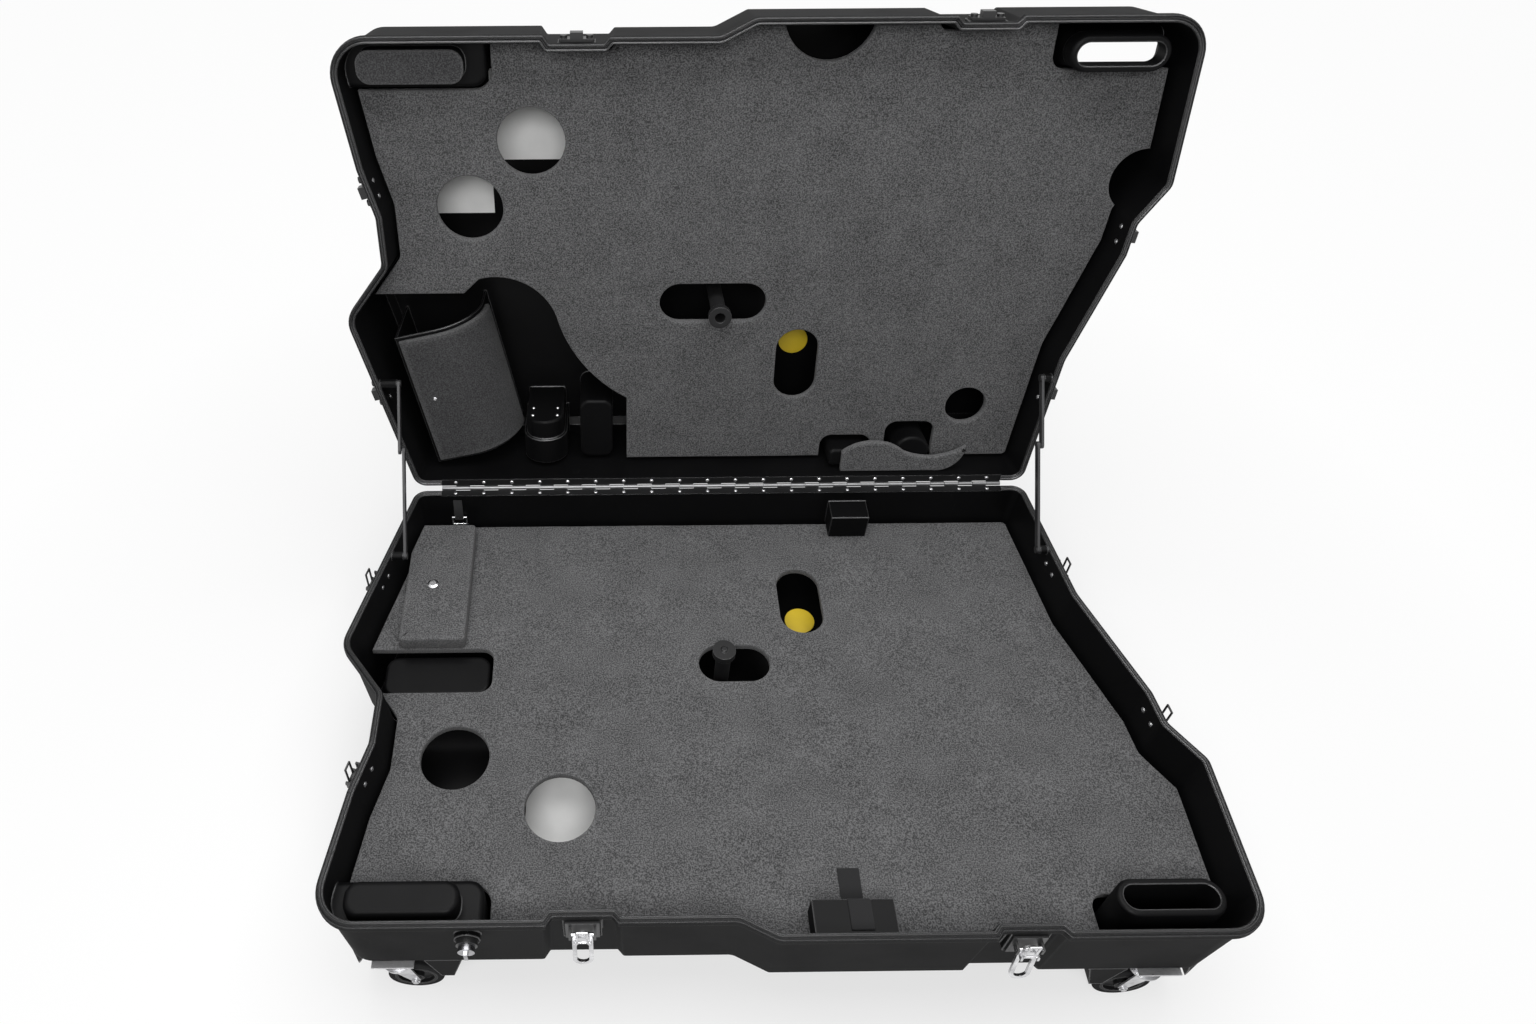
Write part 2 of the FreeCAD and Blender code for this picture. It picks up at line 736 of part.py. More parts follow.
def tower_wire(z):
    """Plan of the closed corner tower."""
    return rounded(TOWER_X0, TOWER_X1, FRONT_LEFT_Y - TOWER_R, TOWER_Y, TOWER_R, z)


def pill_wire(z):
    """Plan of the raised bolster on the corner tower."""
    half_x, half_y = PILL_LONG / 2, PILL_WIDE / 2
    return rounded(PILL_X - half_x, PILL_X + half_x, PILL_Y - half_y, PILL_Y + half_y, PILL_R, z)


def grip_wire(z):
    """Plan of the boss round the hand-hole."""
    return oblong(GRIP_X, GRIP_Y, GRIP_LONG + 2 * GRIP_WALL, GRIP_WIDE + 2 * GRIP_WALL, z)


def tower_hollow(z):
    """Hollow of the closed corner tower, clear of the outer walls."""
    return rounded(TOWER_X0 + TOWER_HOLLOW_IN, TOWER_X1 - WALL, FRONT_LEFT_Y + TOWER_HOLLOW_IN, TOWER_Y - WALL,
                   TOWER_R - WALL, z)


def base_shell():
    """Deep lower half with towers, ribs, caster corners and latch pads."""
    body, outer, cavity = half_shell(BASE, BASE_DEPTH)
    floor = -BASE_DEPTH + WALL / 2
    room = outer.common(box(-FAR, FAR, -FAR, 0, -RIM_GAP, -BASE_DEPTH))
    adds = []
    rib_top = -(BASE_FOAM_TOP + FOAM_T + SEAT_GAP)
    for x in BASE_RIBS_X:
        adds.append(box(x, x + RIB, FRONT_LEFT_Y + RIB_END_IN, REAR_Y - RIB_END_IN, floor, rib_top))
    adds.append(soft_prism(tower_wire(-TOWER_TOP), floor + TOWER_TOP, TOWER_EDGE))
    adds.append(soft_prism(pill_wire(-PILL_TOP), PILL_TOP - TOWER_TOP - WALL, PILL_EDGE))
    front = FRONT_RIGHT_Y
    adds.append(box(FRONT_BOSS_X0, FRONT_BOSS_X1, front, FRONT_BOSS_Y, -FRONT_BOSS_TOP,
                    -BASE_FOAM_TOP + SEAT_GAP))
    adds.append(box(BOX_BUMP_X0, BOX_BUMP_X1, BOX_BUMP_Y0, REAR_Y, -BASE_BOX_TOP, -BASE_FOAM_TOP + SEAT_GAP))
    saddle = soft_prism(rounded(SADDLE_X0, SADDLE_X1, SADDLE_Y0, SADDLE_Y1, TOWER_R, -SADDLE_TOP),
                        floor + SADDLE_TOP, BUMP_EDGE)
    saddle = saddle.cut(prism(rounded(SADDLE_X0 + RIB, SADDLE_X1 - RIB, SADDLE_Y0 + RIB, SADDLE_Y1 - RIB,
                                      TOWER_R - RIB, floor - WALL),
                              BASE_DEPTH + WALL / 2 - SADDLE_TOP - RIB))
    adds.append(saddle)
    for name, x, y, trail, out in caster_spots():
        adds.append(pocket(x, y, out, POCKET_WALL))
    for name, x0, inward in stay_planes():
        face = V(stay_base_face(x0, inward), STAY_BASE_Y, -STAY_Z)
        adds.append(cylinder(STAY_BOSS_R, face, face - V(inward * FAR, 0, 0)))
    shell = fuse_all([body.cut(cavity)] + [a.common(room) for a in adds])
    outside = [foot_block(x, y, out) for name, x, y, trail, out in caster_spots()]
    outside += [moved(latch_boss(BASE), frame).cut(cavity) for name, frame in latch_frames()]
    lock = cylinder(LOCK_BOSS_R, V(LOCK_X, FRONT_LEFT_Y, LOCK_Z),
                    V(LOCK_X, FRONT_LEFT_Y + RIM_OVER + DRAFT, LOCK_Z))
    outside.append(lock.cut(cavity))
    shell = fuse_all([shell] + outside)
    cuts = [pocket(x, y, out, 0.0) for name, x, y, trail, out in caster_spots()]
    vent = POCKET_ROOF - POCKET_WALL - WALL
    cuts.append(prism(tower_hollow(-vent), vent - TOWER_TOP - WALL))
    vent_x = TOWER_X1 - VENT_WIDE - TOWER_R
    cuts.append(box(vent_x, vent_x + VENT_WIDE, TOWER_Y - 2 * WALL, TOWER_Y + WALL, -vent, -vent + VENT_HIGH))
    cuts.append(hinge_recess(BASE))
    cuts += rim_cuts(BASE)
    return shell.cut(cuts)


def grip_boss():
    """Moulded cup of the hand-hole, standing on the caster block in the front right corner of the base."""
    floor = -POCKET_ROOF + SEAT_GAP
    boss = soft_prism(grip_wire(-GRIP_TOP), floor + GRIP_TOP, GRIP_EDGE)
    boss = boss.common(skin(BASE, BASE_DEPTH - WALL - SEAT_GAP, WALL + SEAT_GAP, 0.0))
    cuts = [pocket(x, y, out, POCKET_WALL + SEAT_GAP) for name, x, y, trail, out in caster_spots()]
    cuts.append(prism(oblong(GRIP_X, GRIP_Y, GRIP_LONG, GRIP_WIDE, -GRIP_DEEP), GRIP_DEEP))
    return boss.cut(cuts)


def column_band(offset, thick, lead, tail):
    """Curved sheet following the column: flat across, then turning back on a round."""
    x0, x1, h0 = COLUMN_X0, COLUMN_X1, COLUMN_FRONT
    out_r = COLUMN_R + offset
    in_r = out_r - thick
    cx = x1 - COLUMN_R
    ch = h0 + COLUMN_R
    c = math.sqrt(0.5)
    p = [V(x0 + lead, 0, ch - out_r), V(cx, 0, ch - out_r), V(cx + out_r, 0, ch), V(cx + out_r, 0, ch + tail),
         V(cx + in_r, 0, ch + tail), V(cx + in_r, 0, ch), V(cx, 0, ch - in_r), V(x0 + lead, 0, ch - in_r)]
    edges = [Part.makeLine(p[0], p[1]), Part.Arc(p[1], V(cx + out_r * c, 0, ch - out_r * c), p[2]).toShape()]
    if tail > 0:
        edges.append(Part.makeLine(p[2], p[3]))
        edges.append(Part.makeLine(p[3], p[4]))
        edges.append(Part.makeLine(p[4], p[5]))
    else:
        edges.append(Part.makeLine(p[2], p[5]))
    edges.append(Part.Arc(p[5], V(cx + in_r * c, 0, ch - in_r * c), p[6]).toShape())
    edges.append(Part.makeLine(p[6], p[7]))
    edges.append(Part.makeLine(p[7], p[0]))
    return Part.Face(Part.Wire(edges))


def leaning(shape):
    """Column piece turned about the column's middle to follow the side wall."""
    shape.rotate(V((COLUMN_X0 + COLUMN_X1) / 2, (COLUMN_Y0 + COLUMN_Y1) / 2, 0), UP, -COLUMN_LEAN)
    return shape


def ledge(half, front, y0, y1, far):
    """Half-round block standing off the lid's panel, its round side towards the base."""
    x = LEDGE_X
    turn = front + half
    a, b = V(x - half, y0, turn), V(x + half, y0, turn)
    c, d = V(x + half, y0, far), V(x - half, y0, far)
    edges = [Part.Arc(a, V(x, y0, front), b).toShape(), Part.makeLine(b, c), Part.makeLine(c, d),
             Part.makeLine(d, a)]
    return Part.Face(Part.Wire(edges)).extrude(V(0, y1 - y0, 0))


def stepped_ledge(panel):
    """Half-round ledge of the lid with a wider foot: solid and the hollow behind it."""
    wide, low = LEDGE_HALF + LEDGE_STEP, LEDGE_FRONT - LEDGE_STEP
    top = ledge(LEDGE_HALF, LEDGE_FRONT, LEDGE_TOP_Y, LEDGE_LOW_Y, panel)
    edges = [e for e in top.Edges if all(abs(v.Y - LEDGE_TOP_Y) < TINY for v in e.Vertexes)]
    top = top.makeFillet(LEDGE_EDGE, [e for e in edges if e.CenterOfMass.z < panel - TINY])
    foot = ledge(wide, low, LEDGE_STEP_Y, LEDGE_LOW_Y, panel)
    far = LID_DEPTH + OVERRUN
    hollows = [ledge(LEDGE_HALF - WALL, LEDGE_FRONT + WALL, LEDGE_TOP_Y + WALL, LEDGE_LOW_Y - WALL, far),
               ledge(wide - WALL, low + WALL, LEDGE_STEP_Y + WALL, LEDGE_LOW_Y - WALL, far)]
    return [top, foot], hollows


def hand_recess(grow):
    """Finger room behind the lid's hand-hole, widening to the panel and the side wall."""
    x0, x1 = GRIP_X - GRIP_LONG / 2 - grow, GRIP_X + GRIP_LONG / 2 + grow
    y0, y1 = GRIP_Y - GRIP_WIDE / 2 - grow, GRIP_Y + GRIP_WIDE / 2 + grow
    near = rounded(x0, x1, y0, y1, RECESS_R, GRIP_TOP + GRIP_NECK - grow)
    far = rounded(x0, x1 + RECESS_SIDE, y0, y1 + RECESS_BACK, RECESS_R, LID_DEPTH + OVERRUN)
    return Part.makeLoft([near, far], True, True)


def hollow_bump(wire_at, front, depth):
    """Moulded bump pushed in from outside: solid and the hollow behind it."""
    solid = soft_prism(wire_at(0.0, front), depth - front - WALL / 2, BUMP_EDGE)
    hollow = prism(wire_at(WALL, front + WALL), depth - front)
    return solid, hollow


def lid_shell():
    """Upper half, drawn shut over the base."""
    body, outer, cavity = half_shell(LID, LID_DEPTH)
    panel = LID_DEPTH - WALL / 2
    room = outer.common(box(-FAR, FAR, -FAR, 0, RIM_GAP, LID_DEPTH))
    adds = []
    rib_top = LID_FOAM_FRONT + FOAM_T + SEAT_GAP
    for x, y0, y1 in LID_RIBS:
        adds.append(box(x, x + RIB, y0, y1, rib_top, panel))
    adds.append(soft_prism(tower_wire(TOWER_TOP), panel - TOWER_TOP, TOWER_EDGE))
    adds.append(prism(pill_wire(LID_PILL_TOP), TOWER_TOP + WALL - LID_PILL_TOP))
    adds.append(soft_prism(grip_wire(GRIP_TOP), GRIP_NECK + WALL, GRIP_EDGE))
    adds.append(hand_recess(WALL))
    long = COLUMN_Y1 - COLUMN_Y0
    turn = COLUMN_FRONT + COLUMN_R
    wall = column_band(0.0, COLUMN_T, 0.0, panel - turn).extrude(V(0, long, 0))
    wall.translate(V(0, COLUMN_Y0, 0))
    adds.append(leaning(wall))
    adds.append(leaning(box(COLUMN_X0, COLUMN_X0 + COLUMN_T, COLUMN_Y0, COLUMN_Y1, COLUMN_FRONT, panel)))
    steps, hollows = stepped_ledge(panel)
    adds += steps
    bumps = [
        hollow_bump(lambda g, z: rounded(POST_RIB_X0 + g, POST_RIB_X1 - g, POST_RIB_Y0 + g, POST_RIB_Y1 - g,
                                         2 * BUMP_TAPER - g, z), POST_RIB_FRONT, LID_DEPTH),
        hollow_bump(lambda g, z: rounded(BOX_BUMP_X0 + g, BOX_BUMP_X1 - g, BOX_BUMP_Y0 + g, BOX_BUMP_Y1 - g,
                                         BUMP_TAPER - g, z), BUMP_FACE, LID_DEPTH),
        hollow_bump(lambda g, z: oblong(ROUND_BUMP_X, ROUND_BUMP_Y, 2 * ROUND_BUMP_R - 2 * g,
                                        2 * ROUND_BUMP_R - 2 * g - WALL, z), BUMP_FACE, LID_DEPTH),
    ]
    adds += [solid for solid, hollow in bumps]
    for name, x0, inward in stay_planes():
        face = V(stay_lid_face(x0, inward), STAY_LID_Y, STAY_Z)
        adds.append(cylinder(STAY_BOSS_R, face, face - V(inward * FAR, 0, 0)))
    shell = fuse_all([body.cut(cavity)] + [a.common(room) for a in adds])
    outside = [moved(latch_boss(LID), frame).cut(cavity) for name, frame in latch_frames()]
    shell = fuse_all([shell] + outside)
    cuts = hollows + [hollow for solid, hollow in bumps]
    cuts.append(prism(tower_hollow(TOWER_TOP + WALL), LID_DEPTH))
    cuts.append(prism(oblong(GRIP_X, GRIP_Y, GRIP_LONG, GRIP_WIDE, 0), GRIP_TOP + GRIP_NECK + OVERRUN))
    cuts.append(hand_recess(0.0))
    cuts.append(hinge_recess(LID))
    cuts += rim_cuts(LID)
    return shell.cut(cuts)


def stay_planes():
    """Name, wall-side face of the upper link and inner direction of each stay."""
    return [("left", STAY_LEFT_X, 1.0), ("right", STAY_RIGHT_X, -1.0)]


def stay_lid_face(x0, inward):
    """Face of the lid boss that the upper link swings on."""
    return x0 - inward * SEAT_GAP


def stay_base_face(x0, inward):
    """Face of the base boss that the lower link swings on."""
    return x0 + inward * (STAY_T + STAY_SPACE - SEAT_GAP)


def swing(point, angle):
    """Point of the shut lid turned about the hinge."""
    return FreeCAD.Rotation(V(1, 0, 0), angle).multVec(point)


def stay_numbers():
    """Lengths and open directions of the two links."""
    base_pin = V(0, STAY_BASE_Y, -STAY_Z)
    shut = V(0, STAY_LID_Y, STAY_Z)
    wide = swing(shut, -LID_OPEN)
    span = (wide - base_pin).Length
    fold = (shut - base_pin).Length
    lower = (span + fold) / 2
    upper = (span - fold) / 2
    open_dir = (wide - base_pin).normalize()
    shut_dir = (shut - base_pin).normalize()
    return base_pin, wide, lower, upper, open_dir, shut_dir


def link(x0, inward, start, direction, length, holes):
    """Flat bar with round ends and round holes in a plane of constant X."""
    w = STAY_W / 2
    end = start + direction * length
    side = V(0, -direction.z, direction.y) * w
    pts = [start + side, start - direction * w, start - side, end - side, end + direction * w, end + side]
    edges = [Part.Arc(pts[0], pts[1], pts[2]).toShape(), Part.makeLine(pts[2], pts[3]),
             Part.Arc(pts[3], pts[4], pts[5]).toShape(), Part.makeLine(pts[5], pts[0])]
    bar = Part.Face(Part.Wire(edges)).extrude(V(STAY_T * inward, 0, 0))
    across = V(inward * STAY_T, 0, 0)
    bar = bar.cut([cylinder(r, p - across, p + across * 2) for p, r in holes])
    bar.translate(V(x0, 0, 0))
    return bar


def hinge_recess(side):
    """Shallow step in the rim for one hinge leaf."""
    deep = LEAF_FACE + LEAF_T + LEAF_ROOM
    long = HINGE_KNUCKLE * HINGE_KNUCKLES
    x0 = HINGE_X0 - LEAF_ROOM
    return box(x0, HINGE_X0 + long + LEAF_ROOM, REAR_Y + WALL, -LEAF_END - LEAF_ROOM, -side * WALL, side * deep)


def hinge_leaf(side, start):
    """Leaf strip with every second knuckle."""
    long = HINGE_KNUCKLE * HINGE_KNUCKLES
    strip = box(HINGE_X0, HINGE_X0 + long, -LEAF_END, -BARREL_R - KNUCKLE_GAP, side * LEAF_FACE,
                side * (LEAF_FACE + LEAF_T))
    parts = [strip]
    for i in range(start, HINGE_KNUCKLES, 2):
        x0 = HINGE_X0 + i * HINGE_KNUCKLE + KNUCKLE_GAP / 2
        x1 = x0 + HINGE_KNUCKLE - KNUCKLE_GAP
        parts.append(cylinder(BARREL_R, V(x0, 0, 0), V(x1, 0, 0)))
        parts.append(box(x0, x1, -LEAF_END / 2, -PIN_R, side * LEAF_FACE, side * (LEAF_FACE + LEAF_T)))
    leaf = fuse_all(parts)
    bore = cylinder(PIN_R + RUN_FIT, V(HINGE_X0 - OVERRUN, 0, 0), V(HINGE_X0 + long + OVERRUN, 0, 0))
    return leaf.cut(bore)


def hinge_rivets(side):
    """Rivet heads along one leaf."""
    out = []
    for i in range(HINGE_KNUCKLES // 2):
        x = HINGE_X0 + HINGE_KNUCKLE * (2 * i + 1)
        out.append(dome(RIVET_R, RIVET_H, V(x, RIVET_Y, side * LEAF_FACE), V(0, 0, -side)))
    return out


def lining(side, front, cuts):
    """Foam sheet inside one half, with its cut-outs."""
    sheet = between(lambda z: outline(FOAM_INSET, z), side, front, front + FOAM_T)
    tools = [between(maker, side, front - OVERRUN, front + FOAM_T + OVERRUN) for maker in cuts]
    return sheet.cut(tools)


def tower_cut(z):
    """Foam cut round the closed corner tower."""
    return rounded(TOWER_X0 - CORNER_R, TOWER_X1 + FOAM_CLEAR, FRONT_LEFT_Y - CORNER_R, TOWER_Y + FOAM_CLEAR,
                   TOWER_R + FOAM_CLEAR, z)


def grip_cut(z):
    """Foam cut round the hand-hole."""
    x0 = GRIP_X - GRIP_LONG / 2 - GRIP_WALL - FOAM_CLEAR
    y1 = GRIP_Y + GRIP_WIDE / 2 + GRIP_WALL + FOAM_CLEAR
    return rounded(x0, FRONT_RIGHT_X + CORNER_R, FRONT_RIGHT_Y - CORNER_R, y1, TOWER_R, z)


def hole_cut(center, r):
    """Round hole through a foam sheet."""
    return lambda z: Part.Wire(Part.makeCircle(r, V(center[0], center[1], z)))


def column_cut(z):
    """Sweeping cut in the lid foam round the lower left mouldings."""
    left = BULGE_X - CORNER_R
    right = POST_RIB_X1 + SWEEP_OUT
    corner = V(COLUMN_X1, COLUMN_Y0, z)
    marks = (SWEEP_STEP_A, SWEEP_STEP_B, SWEEP_MID_A, SWEEP_END_A, SWEEP_MID_B)
    foot, a, mid_a, b, mid_b = [corner + V(dx, dy, 0) for dx, dy in marks]
    c = V(right, corner.y + SWEEP_END_Y, z)
    start, end, far = V(left, foot.y, z), V(right, CORNER_R, z), V(left, CORNER_R, z)
    return Part.Wire([
        Part.makeLine(start, foot), Part.makeLine(foot, a),
        Part.Arc(a, mid_a, b).toShape(), Part.Arc(b, mid_b, c).toShape(),
        Part.makeLine(c, end), Part.makeLine(end, far), Part.makeLine(far, start)])


def bump_cut(x0, x1, y0):
    """Foam notch at the hinge edge round a moulded bump."""
    return lambda z: rounded(x0 - BUMP_CLEAR, x1 + BUMP_CLEAR, y0 - BUMP_CLEAR, CORNER_R, TOWER_R, z)


def base_foam():
    """Lower foam sheet."""
    cuts = [
        tower_cut, grip_cut,
        hole_cut(BASE_HOLE_A, HOLE_R), hole_cut(BASE_HOLE_B, HOLE_R),
        lambda z: oblong(BASE_SLOT_H[0], BASE_SLOT_H[1], BASE_SLOT_LONG, SLOT_WIDE, z),
        lambda z: oblong(BASE_SLOT_V[0], BASE_SLOT_V[1], SLOT_V_WIDE, SLOT_V_LONG, z),
        lambda z: rounded(BULGE_X, SADDLE_X1 + FOAM_CLEAR, SADDLE_Y0 - FOAM_CLEAR, SADDLE_Y1 + FOAM_CLEAR / 2,
                          TOWER_R, z),
    ]
    return lining(BASE, BASE_FOAM_TOP, cuts)


def lid_foam():
    """Upper foam sheet."""
    cuts = [
        tower_cut, grip_cut, column_cut,
        hole_cut(LID_HOLE_A, HOLE_R), hole_cut(LID_HOLE_B, HOLE_R), hole_cut(LID_HOLE_C, SMALL_HOLE_R),
        hole_cut((TOP_NOTCH_X, FRONT_RIGHT_Y + WALL), TOP_NOTCH_R + WALL),
        hole_cut(SIDE_NOTCH, SIDE_NOTCH_R),
        lambda z: oblong(LID_SLOT_H[0], LID_SLOT_H[1], SLOT_LONG, SLOT_WIDE, z),
        lambda z: oblong(LID_SLOT_V[0], LID_SLOT_V[1], SLOT_V_WIDE, SLOT_V_LONG, z),
        bump_cut(BOX_BUMP_X0, BOX_BUMP_X1, BOX_BUMP_Y0),
        bump_cut(ROUND_BUMP_X - ROUND_BUMP_R, ROUND_BUMP_X + ROUND_BUMP_R, ROUND_BUMP_Y - ROUND_BUMP_R),
    ]
    return lining(LID, LID_FOAM_FRONT, cuts)


def lid_flap():
    """Wavy loose foam pad on the lid's hinge-side bumps."""
    z = BUMP_FACE - SEAT_GAP - FLAP_T
    near = REAR_Y - wall_inset(LID_DEPTH, BUMP_FACE) - WALL - SEAT_GAP
    mid = (FLAP_X0 + FLAP_X1) / 2
    quarter = (FLAP_X1 - FLAP_X0) / 4
    start, turn, tip = V(FLAP_X0, near, z), V(FLAP_X1 - quarter, near, z), V(FLAP_X1, FLAP_FAR_Y, z)
    dip, end = V(mid, FLAP_FAR_Y + FLAP_WAVE, z), V(FLAP_X0, FLAP_FAR_Y + FLAP_WAVE, z)
    return prism(Part.Wire([
        Part.makeLine(start, turn),
        Part.Arc(turn, V(FLAP_X1 - quarter / 3, near - FLAP_WAVE, z), tip).toShape(),
        Part.Arc(tip, V(FLAP_X1 - quarter, FLAP_FAR_Y + 2 * FLAP_WAVE, z), dip).toShape(),
        Part.Arc(dip, V(mid - quarter, FLAP_FAR_Y - FLAP_WAVE, z), end).toShape(),
        Part.makeLine(end, start)]), FLAP_T)


def caster_plate(x, y, roof, race_low):
    """Fixed top plate with its bearing race, and the four bolt heads under it."""
    half = PLATE / 2
    plate = box(x - half, x + half, y - half, y + half, roof - PLATE_T, roof)
    race = cylinder(RACE_R, V(x, y, race_low), V(x, y, roof - PLATE_T / 2))
    king_bore = cylinder(KING_R + RUN_FIT, V(x, y, race_low - OVERRUN), V(x, y, roof + OVERRUN))
    solids = [fuse_all([plate, race]).cut(king_bore)]
    for sx in (-1, 1):
        for sy in (-1, 1):
            at = V(x + sx * (half - BOLT_IN), y + sy * (half - BOLT_IN), roof - PLATE_T)
            solids.append(dome(BOLT_R, BOLT_H, at, V(0, 0, -1)))
    return solids


def caster_fork(x, y, trail, axle, crown_top, roof):
    """Swivelling fork with its king pin, and the axle bolt through its legs."""
    crown_low = crown_top - CROWN_T
    inside = WHEEL_W / 2 + HUB_SIDE + LEG_GAP
    outer = inside + LEG_T
    back, front = x - trail * FORK_HALF, x + trail * FORK_HALF
    parts = [cylinder(CROWN_R, V(x, y, crown_low), V(x, y, crown_top)),
             cylinder(KING_R, V(x, y, crown_low), V(x, y, roof - PLATE_T / 2)),
             box(back, front, y - outer, y + outer, crown_low, crown_top)]
    for s in (-1, 1):
        y0 = y + s * inside
        leg = poly([V(back, y0, crown_top), V(front, y0, crown_top), V(axle.x + trail * NUT_R, y0, axle.z),
                    V(axle.x, y0, axle.z - NUT_R), V(axle.x - trail * NUT_R, y0, axle.z)])
        parts.append(Part.Face(leg).extrude(V(0, s * LEG_T, 0)))
    through = V(0, outer + NUT_H, 0)
    fork = fuse_all(parts).cut(cylinder(AXLE_R, axle - through, axle + through))
    bolt = [cylinder(AXLE_R, axle - through, axle + through)]
    for s in (-1, 1):
        bolt.append(cylinder(NUT_FACE_R, axle + V(0, s * outer, 0), axle + V(0, s * (outer + NUT_H / 2), 0)))
    return [fork, fuse_all(bolt)]


def caster_wheel(axle):
    """Webbed wheel core and the tyre round it."""
    hub = V(0, WHEEL_W / 2 + HUB_SIDE, 0)
    side = V(0, WHEEL_W / 2, 0)
    web = V(0, CORE_WEB / 2, 0)
    past = V(0, WHEEL_W, 0)
    ring = cylinder(CORE_R, axle - side, axle + side).cut(cylinder(CORE_R - CORE_RIM, axle - past, axle + past))
    core = fuse_all([cylinder(HUB_R, axle - hub, axle + hub), cylinder(CORE_R, axle - web, axle + web), ring])
    core = core.cut(cylinder(AXLE_R + RUN_FIT, axle - past, axle + past))
    tyre = cylinder(WHEEL_R, axle - side, axle + side)
    edges = [e for e in tyre.Edges if isinstance(e.Curve, Part.Circle)]
    tyre = tyre.makeFillet(TYRE_ROUND, edges)
    tyre = tyre.cut(cylinder(CORE_R, axle - past, axle + past))
    return core, tyre


def add(nodes, name, shape):
    """Keep one piece, or a set of like pieces, under a node name."""
    nodes[name] = Part.makeCompound(shape) if isinstance(shape, list) else shape


def add_casters(base, pivots):
    """The four casters with their swivel and wheel axes."""
    plates = []
    roof = -POCKET_ROOF
    for name, x, y, trail, out in caster_spots():
        axle = V(x + trail * TRAIL, y, -GROUND + WHEEL_R)
        crown_top = axle.z + WHEEL_R + CROWN_ROOM + CROWN_T
        plates += caster_plate(x, y, roof, crown_top + RACE_GAP)
        add(base, "caster_%s_fork" % name, caster_fork(x, y, trail, axle, crown_top, roof))
        core, tyre = caster_wheel(axle)
        add(base, "caster_%s_wheel" % name, core)
        add(base, "caster_%s_tyre" % name, tyre)
        pivots["caster_%s_swivel" % name] = V(x, y, crown_top)
        pivots["caster_%s_wheel" % name] = axle
    add(base, "caster_plates", plates)


def add_latches(base, lid, pivots):
    """The six draw latches, their catches on the lid and their axes."""
    plates, keepers = [], []
    for name, frame in latch_frames():
        plates.append(moved(latch_plate(), frame))
        keepers.append(moved(keeper(), frame))
        add(base, "latch_%s_lever" % name, moved(latch_lever(), frame))
        add(base, "latch_%s_bail" % name, moved(latch_bail(), frame))
        pivots["latch_%s_lever" % name] = frame.multVec(V(0, -PIVOT_OUT, PIVOT_Z))
        pivots["latch_%s_bail" % name] = frame.multVec(bail_pivot())
        pivots["latch_%s_axis" % name] = frame.Rotation.multVec(V(1, 0, 0))
    add(base, "latch_plates", plates)
    add(lid, "latch_keepers", keepers)


def add_rivets(base, lid):
    """Heads along the hinge and inside the latch walls, the pad's snap and the lid pad's studs."""
    on_base, on_lid = hinge_rivets(BASE), hinge_rivets(LID)
    for name, frame in latch_frames():
        on_base += [moved(r, frame) for r in inside_rivets(BASE, BASE_DEPTH)]
        on_lid += [moved(r, frame) for r in inside_rivets(LID, LID_DEPTH)]
    pad_top = -BASE_FOAM_TOP + SEAT_GAP + REAR_PAD_T
    on_base.append(dome(SNAP_R, SNAP_H, V(SNAP_X, SNAP_Y, pad_top), UP))
    down = V(0, 0, -1)
    front = COLUMN_FRONT - CURVED_PAD_T - SEAT_GAP
    for dx, dy in PAD_STUDS:
        on_lid.append(leaning(dome(STUD_R, STUD_H, V(COLUMN_X0 + dx, COLUMN_Y1 - dy, front), down)))
    for sx in (-1, 1):
        for deep in LEDGE_RIVETS:
            at = V(LEDGE_X + sx * LEDGE_RIVET_X, LEDGE_TOP_Y, LEDGE_FRONT + deep)
            on_lid.append(dome(STUD_R, STUD_H, at, V(0, -1, 0)))
    add(base, "rivets_base", on_base)
    add(lid, "rivets_lid", on_lid)


def add_lock(base, pivots):
    """Turn lock on the front wall: fixed ring and turning knob."""
    at = V(LOCK_X, FRONT_LEFT_Y, LOCK_Z)
    out = V(0, -1, 0)
    ring = cylinder(LOCK_R, at, at + out * LOCK_T)
    add(base, "lock_body", ring.cut(cylinder(LOCK_BORE, at - out, at + out * (LOCK_T + OVERRUN))))
    face = at + out * (LOCK_T + SEAT_GAP)
    grip = box(LOCK_X - KNOB_BAR / 2, LOCK_X + KNOB_BAR / 2, face.y - KNOB_T - KNOB_BAR_T, face.y - KNOB_T / 2,
               LOCK_Z - KNOB_BAR_HALF, LOCK_Z + KNOB_BAR_HALF)
    stem = cylinder(LOCK_BORE - RUN_FIT, at + out * SEAT_GAP, face)
    add(base, "lock_knob", fuse_all([stem, cylinder(KNOB_R, face, face + out * KNOB_T), grip]))
    pivots["lock_knob"] = face


def stay_pin(seat, end, inward):
    """Headed pin from a boss through a link."""
    head = cylinder(STAY_HEAD_R, end, end + V(inward * STAY_HEAD_T, 0, 0))
    return fuse_all([cylinder(STAY_PIN_R, seat, end), head])


